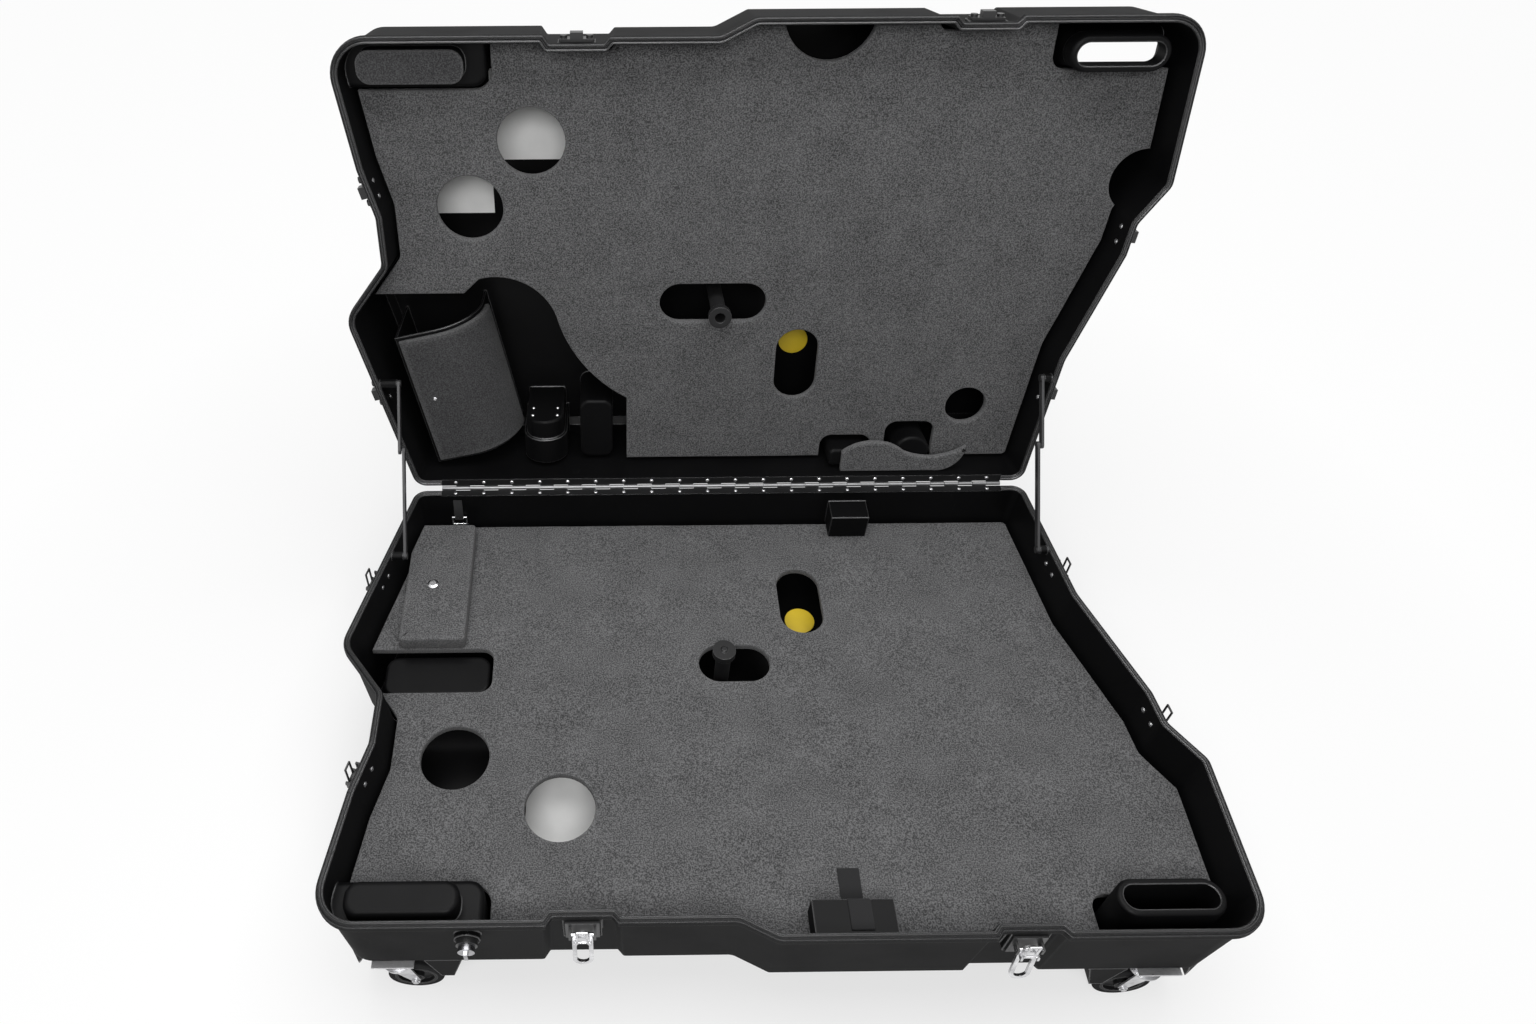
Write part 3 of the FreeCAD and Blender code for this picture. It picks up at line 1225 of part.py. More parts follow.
def add_stays(base, lid, pivots):
    """Two folding stays: a lower link on the base, an upper link on the lid and their pins."""
    base_pin, wide, lower, upper, open_dir, shut_dir = stay_numbers()
    lid_pin = V(0, STAY_LID_Y, STAY_Z)
    base_pins, lid_pins = [], []
    bore = STAY_PIN_R + RUN_FIT
    for name, x0, inward in stay_planes():
        x_low = x0 + inward * (STAY_T + STAY_SPACE)
        far = x_low + inward * STAY_T
        low = link(x_low, inward, base_pin, open_dir, lower, [(base_pin, bore)])
        stud = dome(STAY_HEAD_R, STAY_HEAD_T, V(far, 0, 0) + base_pin + open_dir * lower, V(inward, 0, 0))
        add(base, "stay_%s_lower" % name, fuse_all([low, stud]))
        knee = wide - open_dir * upper
        add(base, "stay_%s_upper" % name,
            link(x0, inward, wide, open_dir * -1, upper, [(wide, bore), (knee, STAY_HOLE_R)]))
        seat = V(stay_base_face(x0, inward), 0, 0) + base_pin
        base_pins.append(stay_pin(seat, V(far + inward * SEAT_GAP, 0, 0) + base_pin, inward))
        seat = V(stay_lid_face(x0, inward), 0, 0) + lid_pin
        lid_pins.append(stay_pin(seat, V(x0 + inward * (STAY_T + SEAT_GAP), 0, 0) + lid_pin, inward))
        pivots["stay_%s_lower" % name] = V(x_low, 0, 0) + base_pin
        pivots["stay_%s_upper" % name] = V(x0, 0, 0) + wide
    add(base, "stay_pins_base", base_pins)
    add(lid, "stay_pins_lid", lid_pins)


def add_posts(base, lid):
    """Wheel posts, yellow discs on their stems, and the cards on the inner faces."""
    floor = -BASE_DEPTH + WALL
    panel = LID_DEPTH - WALL
    end = V(POST_X, BASE_POST_Y, -BASE_POST_END)
    post = fuse_all([cylinder(POST_R, V(POST_X, BASE_POST_Y, floor), end),
                     cylinder(POST_CAP_R, end - UP * POST_CAP_T, end),
                     dome(KNOB_STUD_R, KNOB_STUD_H, end, UP)])
    at = V(BASE_DISC[0], BASE_DISC[1], 0)
    disc_back = floor + BASE_STEM
    add(base, "base_posts", [post, cylinder(STEM_R, at + UP * floor, at + UP * disc_back)])
    add(base, "base_disc", cylinder(DISC_R, at + UP * disc_back, at + UP * (disc_back + DISC_T)))
    x0, x1, y0, y1 = CARD_BASE
    add(base, "base_card", box(x0, x1, y0, y1, floor, floor + CARD_T))

    end = V(POST_X, POST_Y, LID_POST_END)
    foot = V(POST_X, POST_Y, panel)
    tube = fuse_all([cylinder(POST_R, end, foot), cylinder(POST_CAP_R, end, end + UP * POST_CAP_T)])
    tube = tube.cut(cylinder(POST_BORE, end - UP * OVERRUN, foot))
    at = V(LID_DISC[0], LID_DISC[1], 0)
    disc_back = panel - LID_STEM
    add(lid, "lid_posts", [tube, cylinder(STEM_R, at + UP * disc_back, at + UP * panel)])
    add(lid, "lid_disc", cylinder(DISC_R, at + UP * (disc_back - DISC_T), at + UP * disc_back))
    cards = [box(x0, x1, y0, y1, panel - CARD_T, panel) for x0, x1, y0, y1 in (CARD_A, CARD_B)]
    add(lid, "lid_cards", cards)


def front_strap():
    """Webbing over the front boss and down on to the foam."""
    x0, x1 = STRAP_X - STRAP_W / 2, STRAP_X + STRAP_W / 2
    top = -FRONT_BOSS_TOP + SEAT_GAP
    back = FRONT_BOSS_Y + SEAT_GAP
    low = -BASE_FOAM_TOP + SEAT_GAP
    return fuse_all([
        box(x0, x1, FRONT_BOSS_Y - STRAP_TOP_RUN, back + STRAP_T, top, top + STRAP_T),
        box(x0, x1, back, back + STRAP_T, low, top + STRAP_T),
        box(x0, x1, back, back + STRAP_RUN, low, low + STRAP_T)])


def rear_tab_and_ring():
    """Webbing tab on the rear wall, folded round the top bar of a wire ring."""
    wall_y = REAR_Y - RIM_OVER - WALL - SEAT_GAP
    sleeve_r = RING_WIRE + SEAT_GAP + TAB_T
    bar = V(TAB_X, wall_y - sleeve_r - SEAT_GAP, -TAB_LOW)
    across = V(TAB_W / 2, 0, 0)
    tab = fuse_all([box(TAB_X - TAB_W / 2, TAB_X + TAB_W / 2, wall_y - TAB_T, wall_y, bar.z, -TAB_TOP),
                    cylinder(sleeve_r, bar - across, bar + across)])
    tab = tab.cut(cylinder(RING_WIRE + SEAT_GAP, bar - across * 2, bar + across * 2))
    half = V(RING_W / 2, 0, 0)
    drop = V(0, 0, -RING_H)
    ring = fuse_all(bent_wire([bar - half, bar + half, bar + half + drop, bar - half + drop], RING_WIRE, True))
    lean = math.degrees(math.atan2(DRAFT, BASE_DEPTH - EDGE_ROUND))
    for shape in (tab, ring):
        shape.rotate(V(TAB_X, wall_y, 0), V(1, 0, 0), -lean)
    return tab, ring


def rear_pad():
    """Foam block on the lower foam in the rear left corner, kept clear of the walls."""
    z = -BASE_FOAM_TOP + SEAT_GAP
    block = prism(rounded(REAR_PAD_X0, REAR_PAD_X1, REAR_PAD_Y0, REAR_PAD_Y1, FOAM_CLEAR, z), REAR_PAD_T)
    return block.common(prism(outline(FOAM_INSET, z), REAR_PAD_T))


def lid_curved_pad():
    """Foam on the curved column of the lid."""
    pad = column_band(SEAT_GAP + CURVED_PAD_T, CURVED_PAD_T, CURVED_PAD_END, 0.0)
    pad = pad.extrude(V(0, COLUMN_Y1 - COLUMN_Y0 - 2 * CURVED_PAD_END, 0))
    pad.translate(V(0, COLUMN_Y0 + CURVED_PAD_END, 0))
    return leaning(pad)


def lid_tower_pad():
    """Oblong foam pad on the lid's corner tower."""
    return prism(pill_wire(LID_PILL_TOP - SEAT_GAP - PAD_T), PAD_T)


def build():
    """Every piece at rest in the hinge frame, with its pivots."""
    base, lid, pivots = {}, {}, {}
    add(base, "base_shell", base_shell())
    add(base, "grip_boss", grip_boss())
    add(base, "base_foam", base_foam())
    add(base, "rear_pad", rear_pad())
    add(base, "hinge_leaf_base", hinge_leaf(BASE, 0))
    long = HINGE_KNUCKLE * HINGE_KNUCKLES
    add(base, "hinge_pin", cylinder(PIN_R, V(HINGE_X0, 0, 0), V(HINGE_X0 + long, 0, 0)))
    add(base, "front_strap", front_strap())
    tab, ring = rear_tab_and_ring()
    add(base, "rear_tab", tab)
    add(base, "rear_ring", ring)
    add(lid, "lid_shell", lid_shell())
    add(lid, "lid_foam", lid_foam())
    add(lid, "lid_flap", lid_flap())
    add(lid, "lid_curved_pad", lid_curved_pad())
    add(lid, "lid_tower_pad", lid_tower_pad())
    add(lid, "hinge_leaf_lid", hinge_leaf(LID, 1))
    add_casters(base, pivots)
    add_latches(base, lid, pivots)
    add_rivets(base, lid)
    add_lock(base, pivots)
    add_stays(base, lid, pivots)
    add_posts(base, lid)
    for shape in lid.values():
        shape.rotate(V(0, 0, 0), V(1, 0, 0), -LID_OPEN)
    return base, lid, pivots


def main():
    """Build, centre over the underside's middle and write every piece."""
    base, lid, pivots = build()
    nodes = dict(base)
    nodes.update(lid)
    whole = Part.makeCompound(list(nodes.values())).optimalBoundingBox(False, False)
    shift = V(-whole.Center.x, -whole.Center.y, GROUND)
    os.makedirs("parts", exist_ok=True)
    for name, shape in nodes.items():
        shape.translate(shift)
        shape.exportStep("parts/%s.step" % name)
    print("shift", tuple(round(v, 4) for v in shift))
    for name, p in pivots.items():
        q = p if name.endswith("_axis") else p + shift
        print("pivot", name, tuple(round(v, 5) for v in q))
    base_pin, wide, lower, upper, open_dir, shut_dir = stay_numbers()
    print("stay", round(lower, 3), round(upper, 3), tuple(open_dir), tuple(shut_dir))
    size = tuple(round(v, 2) for v in (whole.XLength, whole.YLength, whole.ZLength))
    print("size", size, "pieces", len(nodes))


main()
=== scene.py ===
import json
import logging
import math
from dataclasses import dataclass
from enum import Enum
from operator import itemgetter
from typing import Sequence

import bpy
import numpy as np
from mathutils import Matrix, Vector
from mathutils.geometry import delaunay_2d_cdt
from numpy.linalg import norm


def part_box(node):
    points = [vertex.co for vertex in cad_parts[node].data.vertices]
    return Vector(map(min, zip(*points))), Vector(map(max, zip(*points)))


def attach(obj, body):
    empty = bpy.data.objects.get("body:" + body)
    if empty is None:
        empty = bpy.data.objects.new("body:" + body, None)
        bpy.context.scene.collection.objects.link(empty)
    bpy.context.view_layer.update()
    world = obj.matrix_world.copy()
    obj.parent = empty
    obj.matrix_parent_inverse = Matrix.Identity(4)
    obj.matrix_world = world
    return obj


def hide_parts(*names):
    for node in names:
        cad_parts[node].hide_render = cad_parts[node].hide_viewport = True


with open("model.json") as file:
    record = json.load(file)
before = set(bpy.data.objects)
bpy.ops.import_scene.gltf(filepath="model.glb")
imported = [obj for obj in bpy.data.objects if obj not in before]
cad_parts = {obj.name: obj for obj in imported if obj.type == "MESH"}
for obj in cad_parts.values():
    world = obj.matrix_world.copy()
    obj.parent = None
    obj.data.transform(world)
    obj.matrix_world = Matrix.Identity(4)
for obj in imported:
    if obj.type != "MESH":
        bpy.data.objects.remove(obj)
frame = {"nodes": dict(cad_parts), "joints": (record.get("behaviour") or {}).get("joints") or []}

LOG = logging.getLogger("travel_case")
MM = 0.001
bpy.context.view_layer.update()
LID_HINGE = next(joint for joint in frame["joints"] if joint["name"] == "lid_hinge")
Array = np.ndarray
Colour = tuple[float, float, float]
Point = tuple[float, float, float]
Range = tuple[float, float]
Socket = bpy.types.NodeSocket
Sockets = dict[str, Socket]
Inputs = dict[str, object]
UNIT: Range = (0.0, 1.0)
WHITE = (1.0, 1.0, 1.0, 1.0)


def placed(name: str, data: bpy.types.ID) -> bpy.types.Object:
    """A new object of the scene."""
    made = bpy.data.objects.new(name, data)
    bpy.context.scene.collection.objects.link(made)
    return made


class Side(Enum):
    """The two halves of the case, by the body that carries them."""

    BASE = "base"
    LID = "lid"


@dataclass
class Tree:
    """Short-hand for wiring one node tree."""

    tree: bpy.types.NodeTree

    # Numbers of the mix node's colour sockets, whose names occur more than once.
    MIX_SHARE, MIX_A, MIX_B, MIX_RESULT = 0, 6, 7, 2

    @classmethod
    def emptied(cls, owner: bpy.types.Material | bpy.types.World) -> "Tree":
        """The node tree of a new material or world, with nothing in it yet."""
        owner.use_nodes = True
        owner.node_tree.nodes.clear()
        return cls(owner.node_tree)

    def node(self, kind: str, inputs: dict | None = None, **settings: object) -> bpy.types.Node:
        """Adds one node.

        Args:
            kind: Blender's type name of the node.
            inputs: values or sockets by input name or number.
            settings: properties of the node, set before the inputs.

        Returns:
            The new node.
        """
        made = self.tree.nodes.new(kind)
        for key, value in settings.items():
            setattr(made, key, value)
        for key, value in (inputs or {}).items():
            if isinstance(value, Socket):
                self.tree.links.new(value, made.inputs[key])
            else:
                made.inputs[key].default_value = value
        return made

    def math(self, operation: str, a: Socket | float, b: Socket | float = 0.0) -> Socket:
        """Result of one math node."""
        return self.node("ShaderNodeMath", {0: a, 1: b}, operation=operation).outputs[0]

    def times(self, a: Socket | float, b: Socket | float) -> Socket:
        """Product of two values."""
        return self.math("MULTIPLY", a, b)

    def vector_math(self, operation: str, a: Socket,
                    b: Socket | Point = (0.0, 0.0, 0.0)) -> Socket:
        """Result of one vector math node."""
        made = self.node("ShaderNodeVectorMath", {0: a, 1: b}, operation=operation)
        return made.outputs["Value" if operation in ("DOT_PRODUCT", "LENGTH") else "Vector"]

    def remap(self, value: Socket, source: Range, target: Range = UNIT) -> Socket:
        """Value carried from one range to another and held at its ends."""
        inputs = dict(enumerate((value, *source, *target)))
        return self.node("ShaderNodeMapRange", inputs, clamp=True).outputs["Result"]

    def mix(self, share: Socket, a: Socket | Colour, b: Socket | Colour) -> Socket:
        """Colour between a, at share 0, and b, at share 1."""
        full = [c if isinstance(c, Socket) else (*c, 1.0) for c in (a, b)]
        inputs = {self.MIX_SHARE: share, self.MIX_A: full[0], self.MIX_B: full[1]}
        return self.node("ShaderNodeMix", inputs, data_type="RGBA").outputs[self.MIX_RESULT]

    def noise(self, vector: Socket, scale: Socket | float, detail: float = 2.0) -> Socket:
        """Fractal noise from 0 to 1 at so many features a metre."""
        inputs = {"Vector": vector, "Scale": scale, "Detail": detail}
        return self.node("ShaderNodeTexNoise", inputs).outputs[0]

    def bump(self, height: Socket, depth_mm: float, normal: Socket | None = None) -> Socket:
        """Normal of a height field of so many millimetres, on top of another normal."""
        inputs = {"Height": height, "Distance": depth_mm * MM, "Strength": 1.0}
        if normal is not None:
            inputs["Normal"] = normal
        return self.node("ShaderNodeBump", inputs).outputs[0]


class Effect(Enum):
    """Shared surface effects, each one a node group that is made once."""

    GRAIN = "moulded_grain"
    EDGES = "edge_wear_and_glint"
    HANDLING = "handling_marks"
    SPECKLE = "foam_speckle"
    WEAVE = "webbing_weave"
    BRUSHED = "brushed_lines"

    def group(self) -> bpy.types.NodeTree:
        """The node group of this effect, made at its first use.

        Returns:
            The group with its named inputs and outputs.
        """
        found = bpy.data.node_groups.get(self.value)
        if found:
            return found
        wire = {Effect.GRAIN: self.wire_grain, Effect.EDGES: self.wire_edges,
                Effect.HANDLING: self.wire_handling, Effect.SPECKLE: self.wire_speckle,
                Effect.WEAVE: self.wire_weave, Effect.BRUSHED: self.wire_brushed}[self]
        group = bpy.data.node_groups.new(self.value, "ShaderNodeTree")

        def add_sockets(way: str, names: Sequence[str]) -> None:
            """Adds the group's inputs or outputs."""
            for name in names:
                kind = "NodeSocketVector" if name in ("Vector", "Normal") else "NodeSocketFloat"
                group.interface.new_socket(name, in_out=way, socket_type=kind)

        inputs = ("Radius",) if self is Effect.EDGES else ("Vector", "Scale")
        add_sockets("INPUT", inputs)
        tree = Tree(group)
        start = tree.node("NodeGroupInput")
        results = wire(tree, *(start.outputs[name] for name in inputs))
        add_sockets("OUTPUT", tuple(results))
        tree.node("NodeGroupOutput", results)
        return group

    def place(self, tree: Tree, *values: Socket | float) -> Sockets:
        """Places the effect in a tree with its inputs in order, and gives its outputs by name."""
        node = tree.node("ShaderNodeGroup", dict(enumerate(values)), node_tree=self.group())
        return dict(node.outputs.items())

    @staticmethod
    def wire_grain(tree: Tree, vector: Socket, scale: Socket) -> Sockets:
        """Fine pebbled mould texture, and a broad slow mottle."""
        finer, fine_share = 2.3, 0.5
        broader, mottle_range = 90.0, (0.35, 0.65)
        place = {"Vector": vector, "Scale": scale}
        cells = tree.node("ShaderNodeTexVoronoi", place, feature="SMOOTH_F1").outputs["Distance"]
        fine = tree.noise(vector, tree.times(scale, finer))
        height = tree.math("ADD", cells, tree.times(fine, fine_share))
        mottle = tree.noise(vector, tree.math("DIVIDE", scale, broader), detail=4.0)
        return {"Height": height, "Mottle": tree.remap(mottle, mottle_range)}

    @staticmethod
    def wire_edges(tree: Tree, radius: Socket) -> Sockets:
        """Rounded normal at edges, and a mask where it turns away from the face."""
        turn_cosines = (0.98, 0.85)
        bevel = tree.node("ShaderNodeBevel", {"Radius": radius}, samples=4).outputs[0]
        flat = tree.node("ShaderNodeNewGeometry").outputs["True Normal"]
        cosine = tree.vector_math("DOT_PRODUCT", bevel, flat)
        return {"Mask": tree.remap(cosine, turn_cosines), "Normal": bevel}

    @staticmethod
    def wire_handling(tree: Tree, vector: Socket, scale: Socket) -> Sockets:
        """Soft smudges from hands and fine scuffs that run across them."""
        smudge_range, scuff_range = (0.48, 0.72), (0.66, 0.74)
        scuff_run, finer = (1.0, 0.12, 0.5), 26.0
        smudge = tree.remap(tree.noise(vector, scale, detail=5.0), smudge_range)
        across = tree.vector_math("MULTIPLY", vector, scuff_run)
        scuffs = tree.noise(across, tree.times(scale, finer), detail=3.0)
        scratch = tree.times(tree.remap(scuffs, scuff_range), smudge)
        return {"Smudge": smudge, "Scratch": scratch}

    @staticmethod
    def wire_speckle(tree: Tree, vector: Socket, scale: Socket) -> Sockets:
        """Cells of cut foam: pits for the height, and pale and dark crumbs for the tone."""
        coarser, broader = 0.62, 45.0
        pit_range, crumb_range, broad_range = (0.1, 0.6), (0.4, 0.61), (0.3, 0.7)
        crumb_tone, broad_tone = (0.0, 0.84), (0.0, 0.16)
        place = {"Vector": vector, "Scale": scale}
        cells = tree.node("ShaderNodeTexVoronoi", place).outputs["Distance"]
        crumbs = tree.noise(vector, tree.times(scale, coarser), detail=4.0)
        broad = tree.noise(vector, tree.math("DIVIDE", scale, broader), detail=3.0)
        tone = tree.math("ADD", tree.remap(crumbs, crumb_range, crumb_tone),
                         tree.remap(broad, broad_range, broad_tone))
        return {"Height": tree.math("ADD", tree.remap(cells, pit_range), crumbs), "Tone": tone}

    @staticmethod
    def wire_weave(tree: Tree, vector: Socket, scale: Socket) -> Sockets:
        """Ribbed webbing on UV metres: product of two waves, offset on every second rib."""
        ribs_a_wave, offset = 2.0, 0.5
        pick_power, rib_power, tone_range = 0.6, 0.5, (0.2, 0.9)
        parts = tree.node("ShaderNodeSeparateXYZ", {0: vector})
        along = tree.times(parts.outputs[0], scale)
        across = tree.times(parts.outputs[1], scale)
        second = tree.math("FLOOR", tree.times(across, ribs_a_wave))
        phase = tree.math("ADD", along, tree.times(second, offset))
        pick = tree.math("ABSOLUTE", tree.math("SINE", tree.times(phase, math.pi)))
        rib = tree.math("ABSOLUTE", tree.math("SINE", tree.times(across, ribs_a_wave * math.pi)))
        pick, rib = tree.math("POWER", pick, pick_power), tree.math("POWER", rib, rib_power)
        height = tree.times(pick, rib)
        return {"Height": height, "Tone": tree.remap(height, tone_range)}

    @staticmethod
    def wire_brushed(tree: Tree, vector: Socket, scale: Socket) -> Sockets:
        """Long fine lines along X over a cloudy plating tone."""
        drawn_out, broader, share = (0.06, 1.0, 1.0), 24.0, 0.5
        lines = tree.noise(tree.vector_math("MULTIPLY", vector, drawn_out), scale, detail=3.0)
        cloud = tree.noise(vector, tree.math("DIVIDE", scale, broader), detail=4.0)
        tone = tree.math("ADD", tree.times(lines, share), tree.times(cloud, share))
        return {"Height": lines, "Tone": tone}


@dataclass(frozen=True)
class Finish:
    """A surface finish: the material that a piece is dressed with."""

    name: str
    colour: Colour
    roughness: float
    specular: float = 0.5

    def wire(self, tree: Tree, vector: Socket) -> Inputs:
        """Principled inputs of a kind of finish, at the object's coordinates."""
        raise NotImplementedError(self.name)

    def material(self) -> bpy.types.Material:
        """The Blender material, made at its first use.

        Returns:
            The material with its node tree.
        """
        found = bpy.data.materials.get(self.name)
        if found:
            return found
        made = bpy.data.materials.new(self.name)
        tree = Tree.emptied(made)
        vector = tree.node("ShaderNodeTexCoord").outputs["Object"]
        plain = {"Roughness": self.roughness, "Specular IOR Level": self.specular}
        shader = tree.node("ShaderNodeBsdfPrincipled", plain | self.wire(tree, vector))
        tree.node("ShaderNodeOutputMaterial", {"Surface": shader.outputs[0]})
        return made


@dataclass(frozen=True)
class MouldedPlastic(Finish):
    """Moulded plastic or rubber: fine grain, softened and rubbed edges, light handling marks."""

    rubbed: Colour = (0.03, 0.03, 0.031)
    dark_share: float = 0.78
    grain_per_m: float = 900.0
    grain_mm: float = 0.04
    edge_mm: float = 1.6
    edge_wear: Range = (0.3, 0.8)
    specular: float = 0.14
    coat: float = 0.0
    smudges_per_m: float = 9.0
    smudge_roughness: float = 1.18
    marks: float = 0.3
    # glint is a pale colour laid on the rounded edges and made metallic there, so they throw back
    # the lamps and the white surroundings as bright lines: a painted highlight.
    glint: Colour = (0.2, 0.2, 0.203)
    glint_metallic: float = 0.85
    side_facing: Range = (0.4, 0.75)
    side_roughness: float = 0.35

    def wire(self, tree: Tree, vector: Socket) -> Inputs:
        """Grain in the normal, wear in colour and roughness, a painted highlight on the edges,
        matte from the side.
        """
        grain = Effect.GRAIN.place(tree, vector, self.grain_per_m)
        edges = Effect.EDGES.place(tree, self.edge_mm * MM)
        hands = Effect.HANDLING.place(tree, vector, self.smudges_per_m)
        darker = tuple(self.dark_share * c for c in self.colour)
        tone = tree.mix(grain["Mottle"], darker, self.colour)
        worn = tree.times(edges["Mask"], tree.remap(hands["Smudge"], UNIT, self.edge_wear))
        worn = tree.math("MAXIMUM", worn, tree.times(hands["Scratch"], self.marks))
        smudged = (self.roughness, self.roughness * self.smudge_roughness)
        facing = tree.node("ShaderNodeLayerWeight").outputs["Facing"]
        off_edge = tree.remap(edges["Mask"], UNIT, (1.0, 0.0))
        matte = tree.times(tree.remap(facing, self.side_facing), off_edge)
        rough = tree.math("ADD", tree.remap(hands["Smudge"], UNIT, smudged),
                          tree.times(matte, self.side_roughness))
        # Painted highlight: the edges get the pale glint colour and turn metallic.
        glint_metallic = tree.times(edges["Mask"], self.glint_metallic)
        colour = tree.mix(glint_metallic, tree.mix(worn, tone, self.rubbed), self.glint)
        return {"Base Color": colour, "Metallic": glint_metallic, "Roughness": rough,
                "Coat Weight": self.coat,
                "Normal": tree.bump(grain["Height"], self.grain_mm, edges["Normal"])}


@dataclass(frozen=True)
class FoamSheet(Finish):
    """Cut closed-cell foam: pale and dark crumbs over charcoal, paler where it was cut."""

    pale: Colour = (0.158, 0.158, 0.161)
    cut: Colour = (0.16, 0.16, 0.162)
    cut_share: Range = (0.25, 0.6)
    cells_per_m: float = 820.0
    pit_mm: float = 0.4
    specular: float = 0.15

    def wire(self, tree: Tree, vector: Socket) -> Inputs:
        """Speckled colour, a paler tone on the cut edges and pits in the normal."""
        speckle = Effect.SPECKLE.place(tree, vector, self.cells_per_m)
        edge = tree.node("ShaderNodeAttribute", attribute_name="cut").outputs["Fac"]
        tone = tree.mix(speckle["Tone"], self.colour, self.pale)
        share = tree.times(edge, tree.remap(speckle["Tone"], UNIT, self.cut_share))
        return {"Base Color": tree.mix(share, tone, self.cut), "Sheen Weight": 0.1,
                "Normal": tree.bump(speckle["Height"], self.pit_mm)}


@dataclass(frozen=True)
class PlatedSteel(Finish):
    """Bright plated steel: brushed lines, cloudy plating, softened edges."""

    dull: Colour = (0.45, 0.45, 0.46)
    dull_range: Range = (0.38, 0.62)
    rough_range: Range = (0.35, 0.65)
    rough_spread: Range = (1.3, 0.8)
    lines_per_m: float = 1600.0
    line_mm: float = 0.012
    edge_mm: float = 0.5

    def wire(self, tree: Tree, vector: Socket) -> Inputs:
        """Plating tone in colour and roughness, brushed lines in the normal."""
        lines = Effect.BRUSHED.place(tree, vector, self.lines_per_m)
        edges = Effect.EDGES.place(tree, self.edge_mm * MM)
        tone = tree.remap(lines["Tone"], self.dull_range)
        spread = tuple(self.roughness * share for share in self.rough_spread)
        return {"Base Color": tree.mix(tone, self.dull, self.colour), "Metallic": 1.0,
                "Roughness": tree.remap(lines["Tone"], self.rough_range, spread),
                "Normal": tree.bump(lines["Height"], self.line_mm, edges["Normal"])}


@dataclass(frozen=True)
class CoatedSteel(Finish):
    """Black powder-coated steel: orange-peel texture, bare metal glinting on rubbed edges."""

    bare: Colour = (0.28, 0.28, 0.285)
    bare_metallic: float = 0.8
    dark_share: float = 0.7
    peel_per_m: float = 1300.0
    peel_mm: float = 0.03
    edge_mm: float = 0.6
    edge_wear: Range = (0.05, 0.6)
    wear_range: Range = (0.1, 0.9)
    smudges_per_m: float = 30.0
    smudge_roughness: float = 1.25
    specular: float = 0.45

    def wire(self, tree: Tree, vector: Socket) -> Inputs:
        """Peel in the normal, rubbed edges in colour and roughness."""
        peel = Effect.GRAIN.place(tree, vector, self.peel_per_m)
        edges = Effect.EDGES.place(tree, self.edge_mm * MM)
        hands = Effect.HANDLING.place(tree, vector, self.smudges_per_m)
        wear = tree.remap(hands["Smudge"], self.wear_range, self.edge_wear)
        worn = tree.times(edges["Mask"], wear)
        darker = tuple(self.dark_share * c for c in self.colour)
        tone = tree.mix(peel["Mottle"], darker, self.colour)
        smudged = (self.roughness, self.roughness * self.smudge_roughness)
        return {"Base Color": tree.mix(worn, tone, self.bare),
                "Metallic": tree.times(worn, self.bare_metallic),
                "Roughness": tree.remap(hands["Smudge"], UNIT, smudged),
                "Normal": tree.bump(peel["Height"], self.peel_mm, edges["Normal"])}


@dataclass(frozen=True)
class HingeSteel(CoatedSteel):
    """Coated hinge leaves with a bright barrel round the pin's axis."""

    barrel: Colour = (0.2, 0.2, 0.203)
    barrel_mm: float = 3.4
    barrel_fade: float = 0.95

    def wire(self, tree: Tree, vector: Socket) -> Inputs:
        """Coated steel, and bare metal within the barrel's radius of the hinge axis."""
        sockets = super().wire(tree, vector)
        out = tree.vector_math("SUBTRACT", vector, tuple(LID_HINGE["pos_m"]))
        across = tree.vector_math("MULTIPLY", out, (0.0, 1.0, 1.0))
        fade = (self.barrel_mm * MM, self.barrel_fade * self.barrel_mm * MM)
        bright = tree.remap(tree.vector_math("LENGTH", across), fade)
        sockets["Base Color"] = tree.mix(bright, sockets["Base Color"], self.barrel)
        sockets["Metallic"] = tree.math("MAXIMUM", sockets["Metallic"], bright)
        return sockets


@dataclass(frozen=True)
class WebbingCloth(Finish):
    """Woven strap webbing on the piece's own UV metres."""

    pale: Colour = (0.024, 0.024, 0.025)
    ribs_per_m: float = 420.0
    rib_mm: float = 0.35
    specular: float = 0.2

    def wire(self, tree: Tree, vector: Socket) -> Inputs:
        """Weave in tone and normal, a little fuzz in the sheen."""
        place = tree.node("ShaderNodeUVMap", uv_map="weave").outputs[0]
        weave = Effect.WEAVE.place(tree, place, self.ribs_per_m)
        return {"Base Color": tree.mix(weave["Tone"], self.colour, self.pale),
                "Sheen Weight": 0.05, "Normal": tree.bump(weave["Height"], self.rib_mm)}


@dataclass(frozen=True)
class CardStock(Finish):
    """Blank white card: paper fibre and a faint grey cloud."""

    shade: Colour = (0.8, 0.8, 0.79)
    fibres_per_m: float = 1500.0
    fibre_mm: float = 0.02
    specular: float = 0.3

    def wire(self, tree: Tree, vector: Socket) -> Inputs:
        """Fibre in the normal, cloud in the colour."""
        grain = Effect.GRAIN.place(tree, vector, self.fibres_per_m)
        return {"Base Color": tree.mix(grain["Mottle"], self.shade, self.colour),
                "Normal": tree.bump(grain["Height"], self.fibre_mm)}


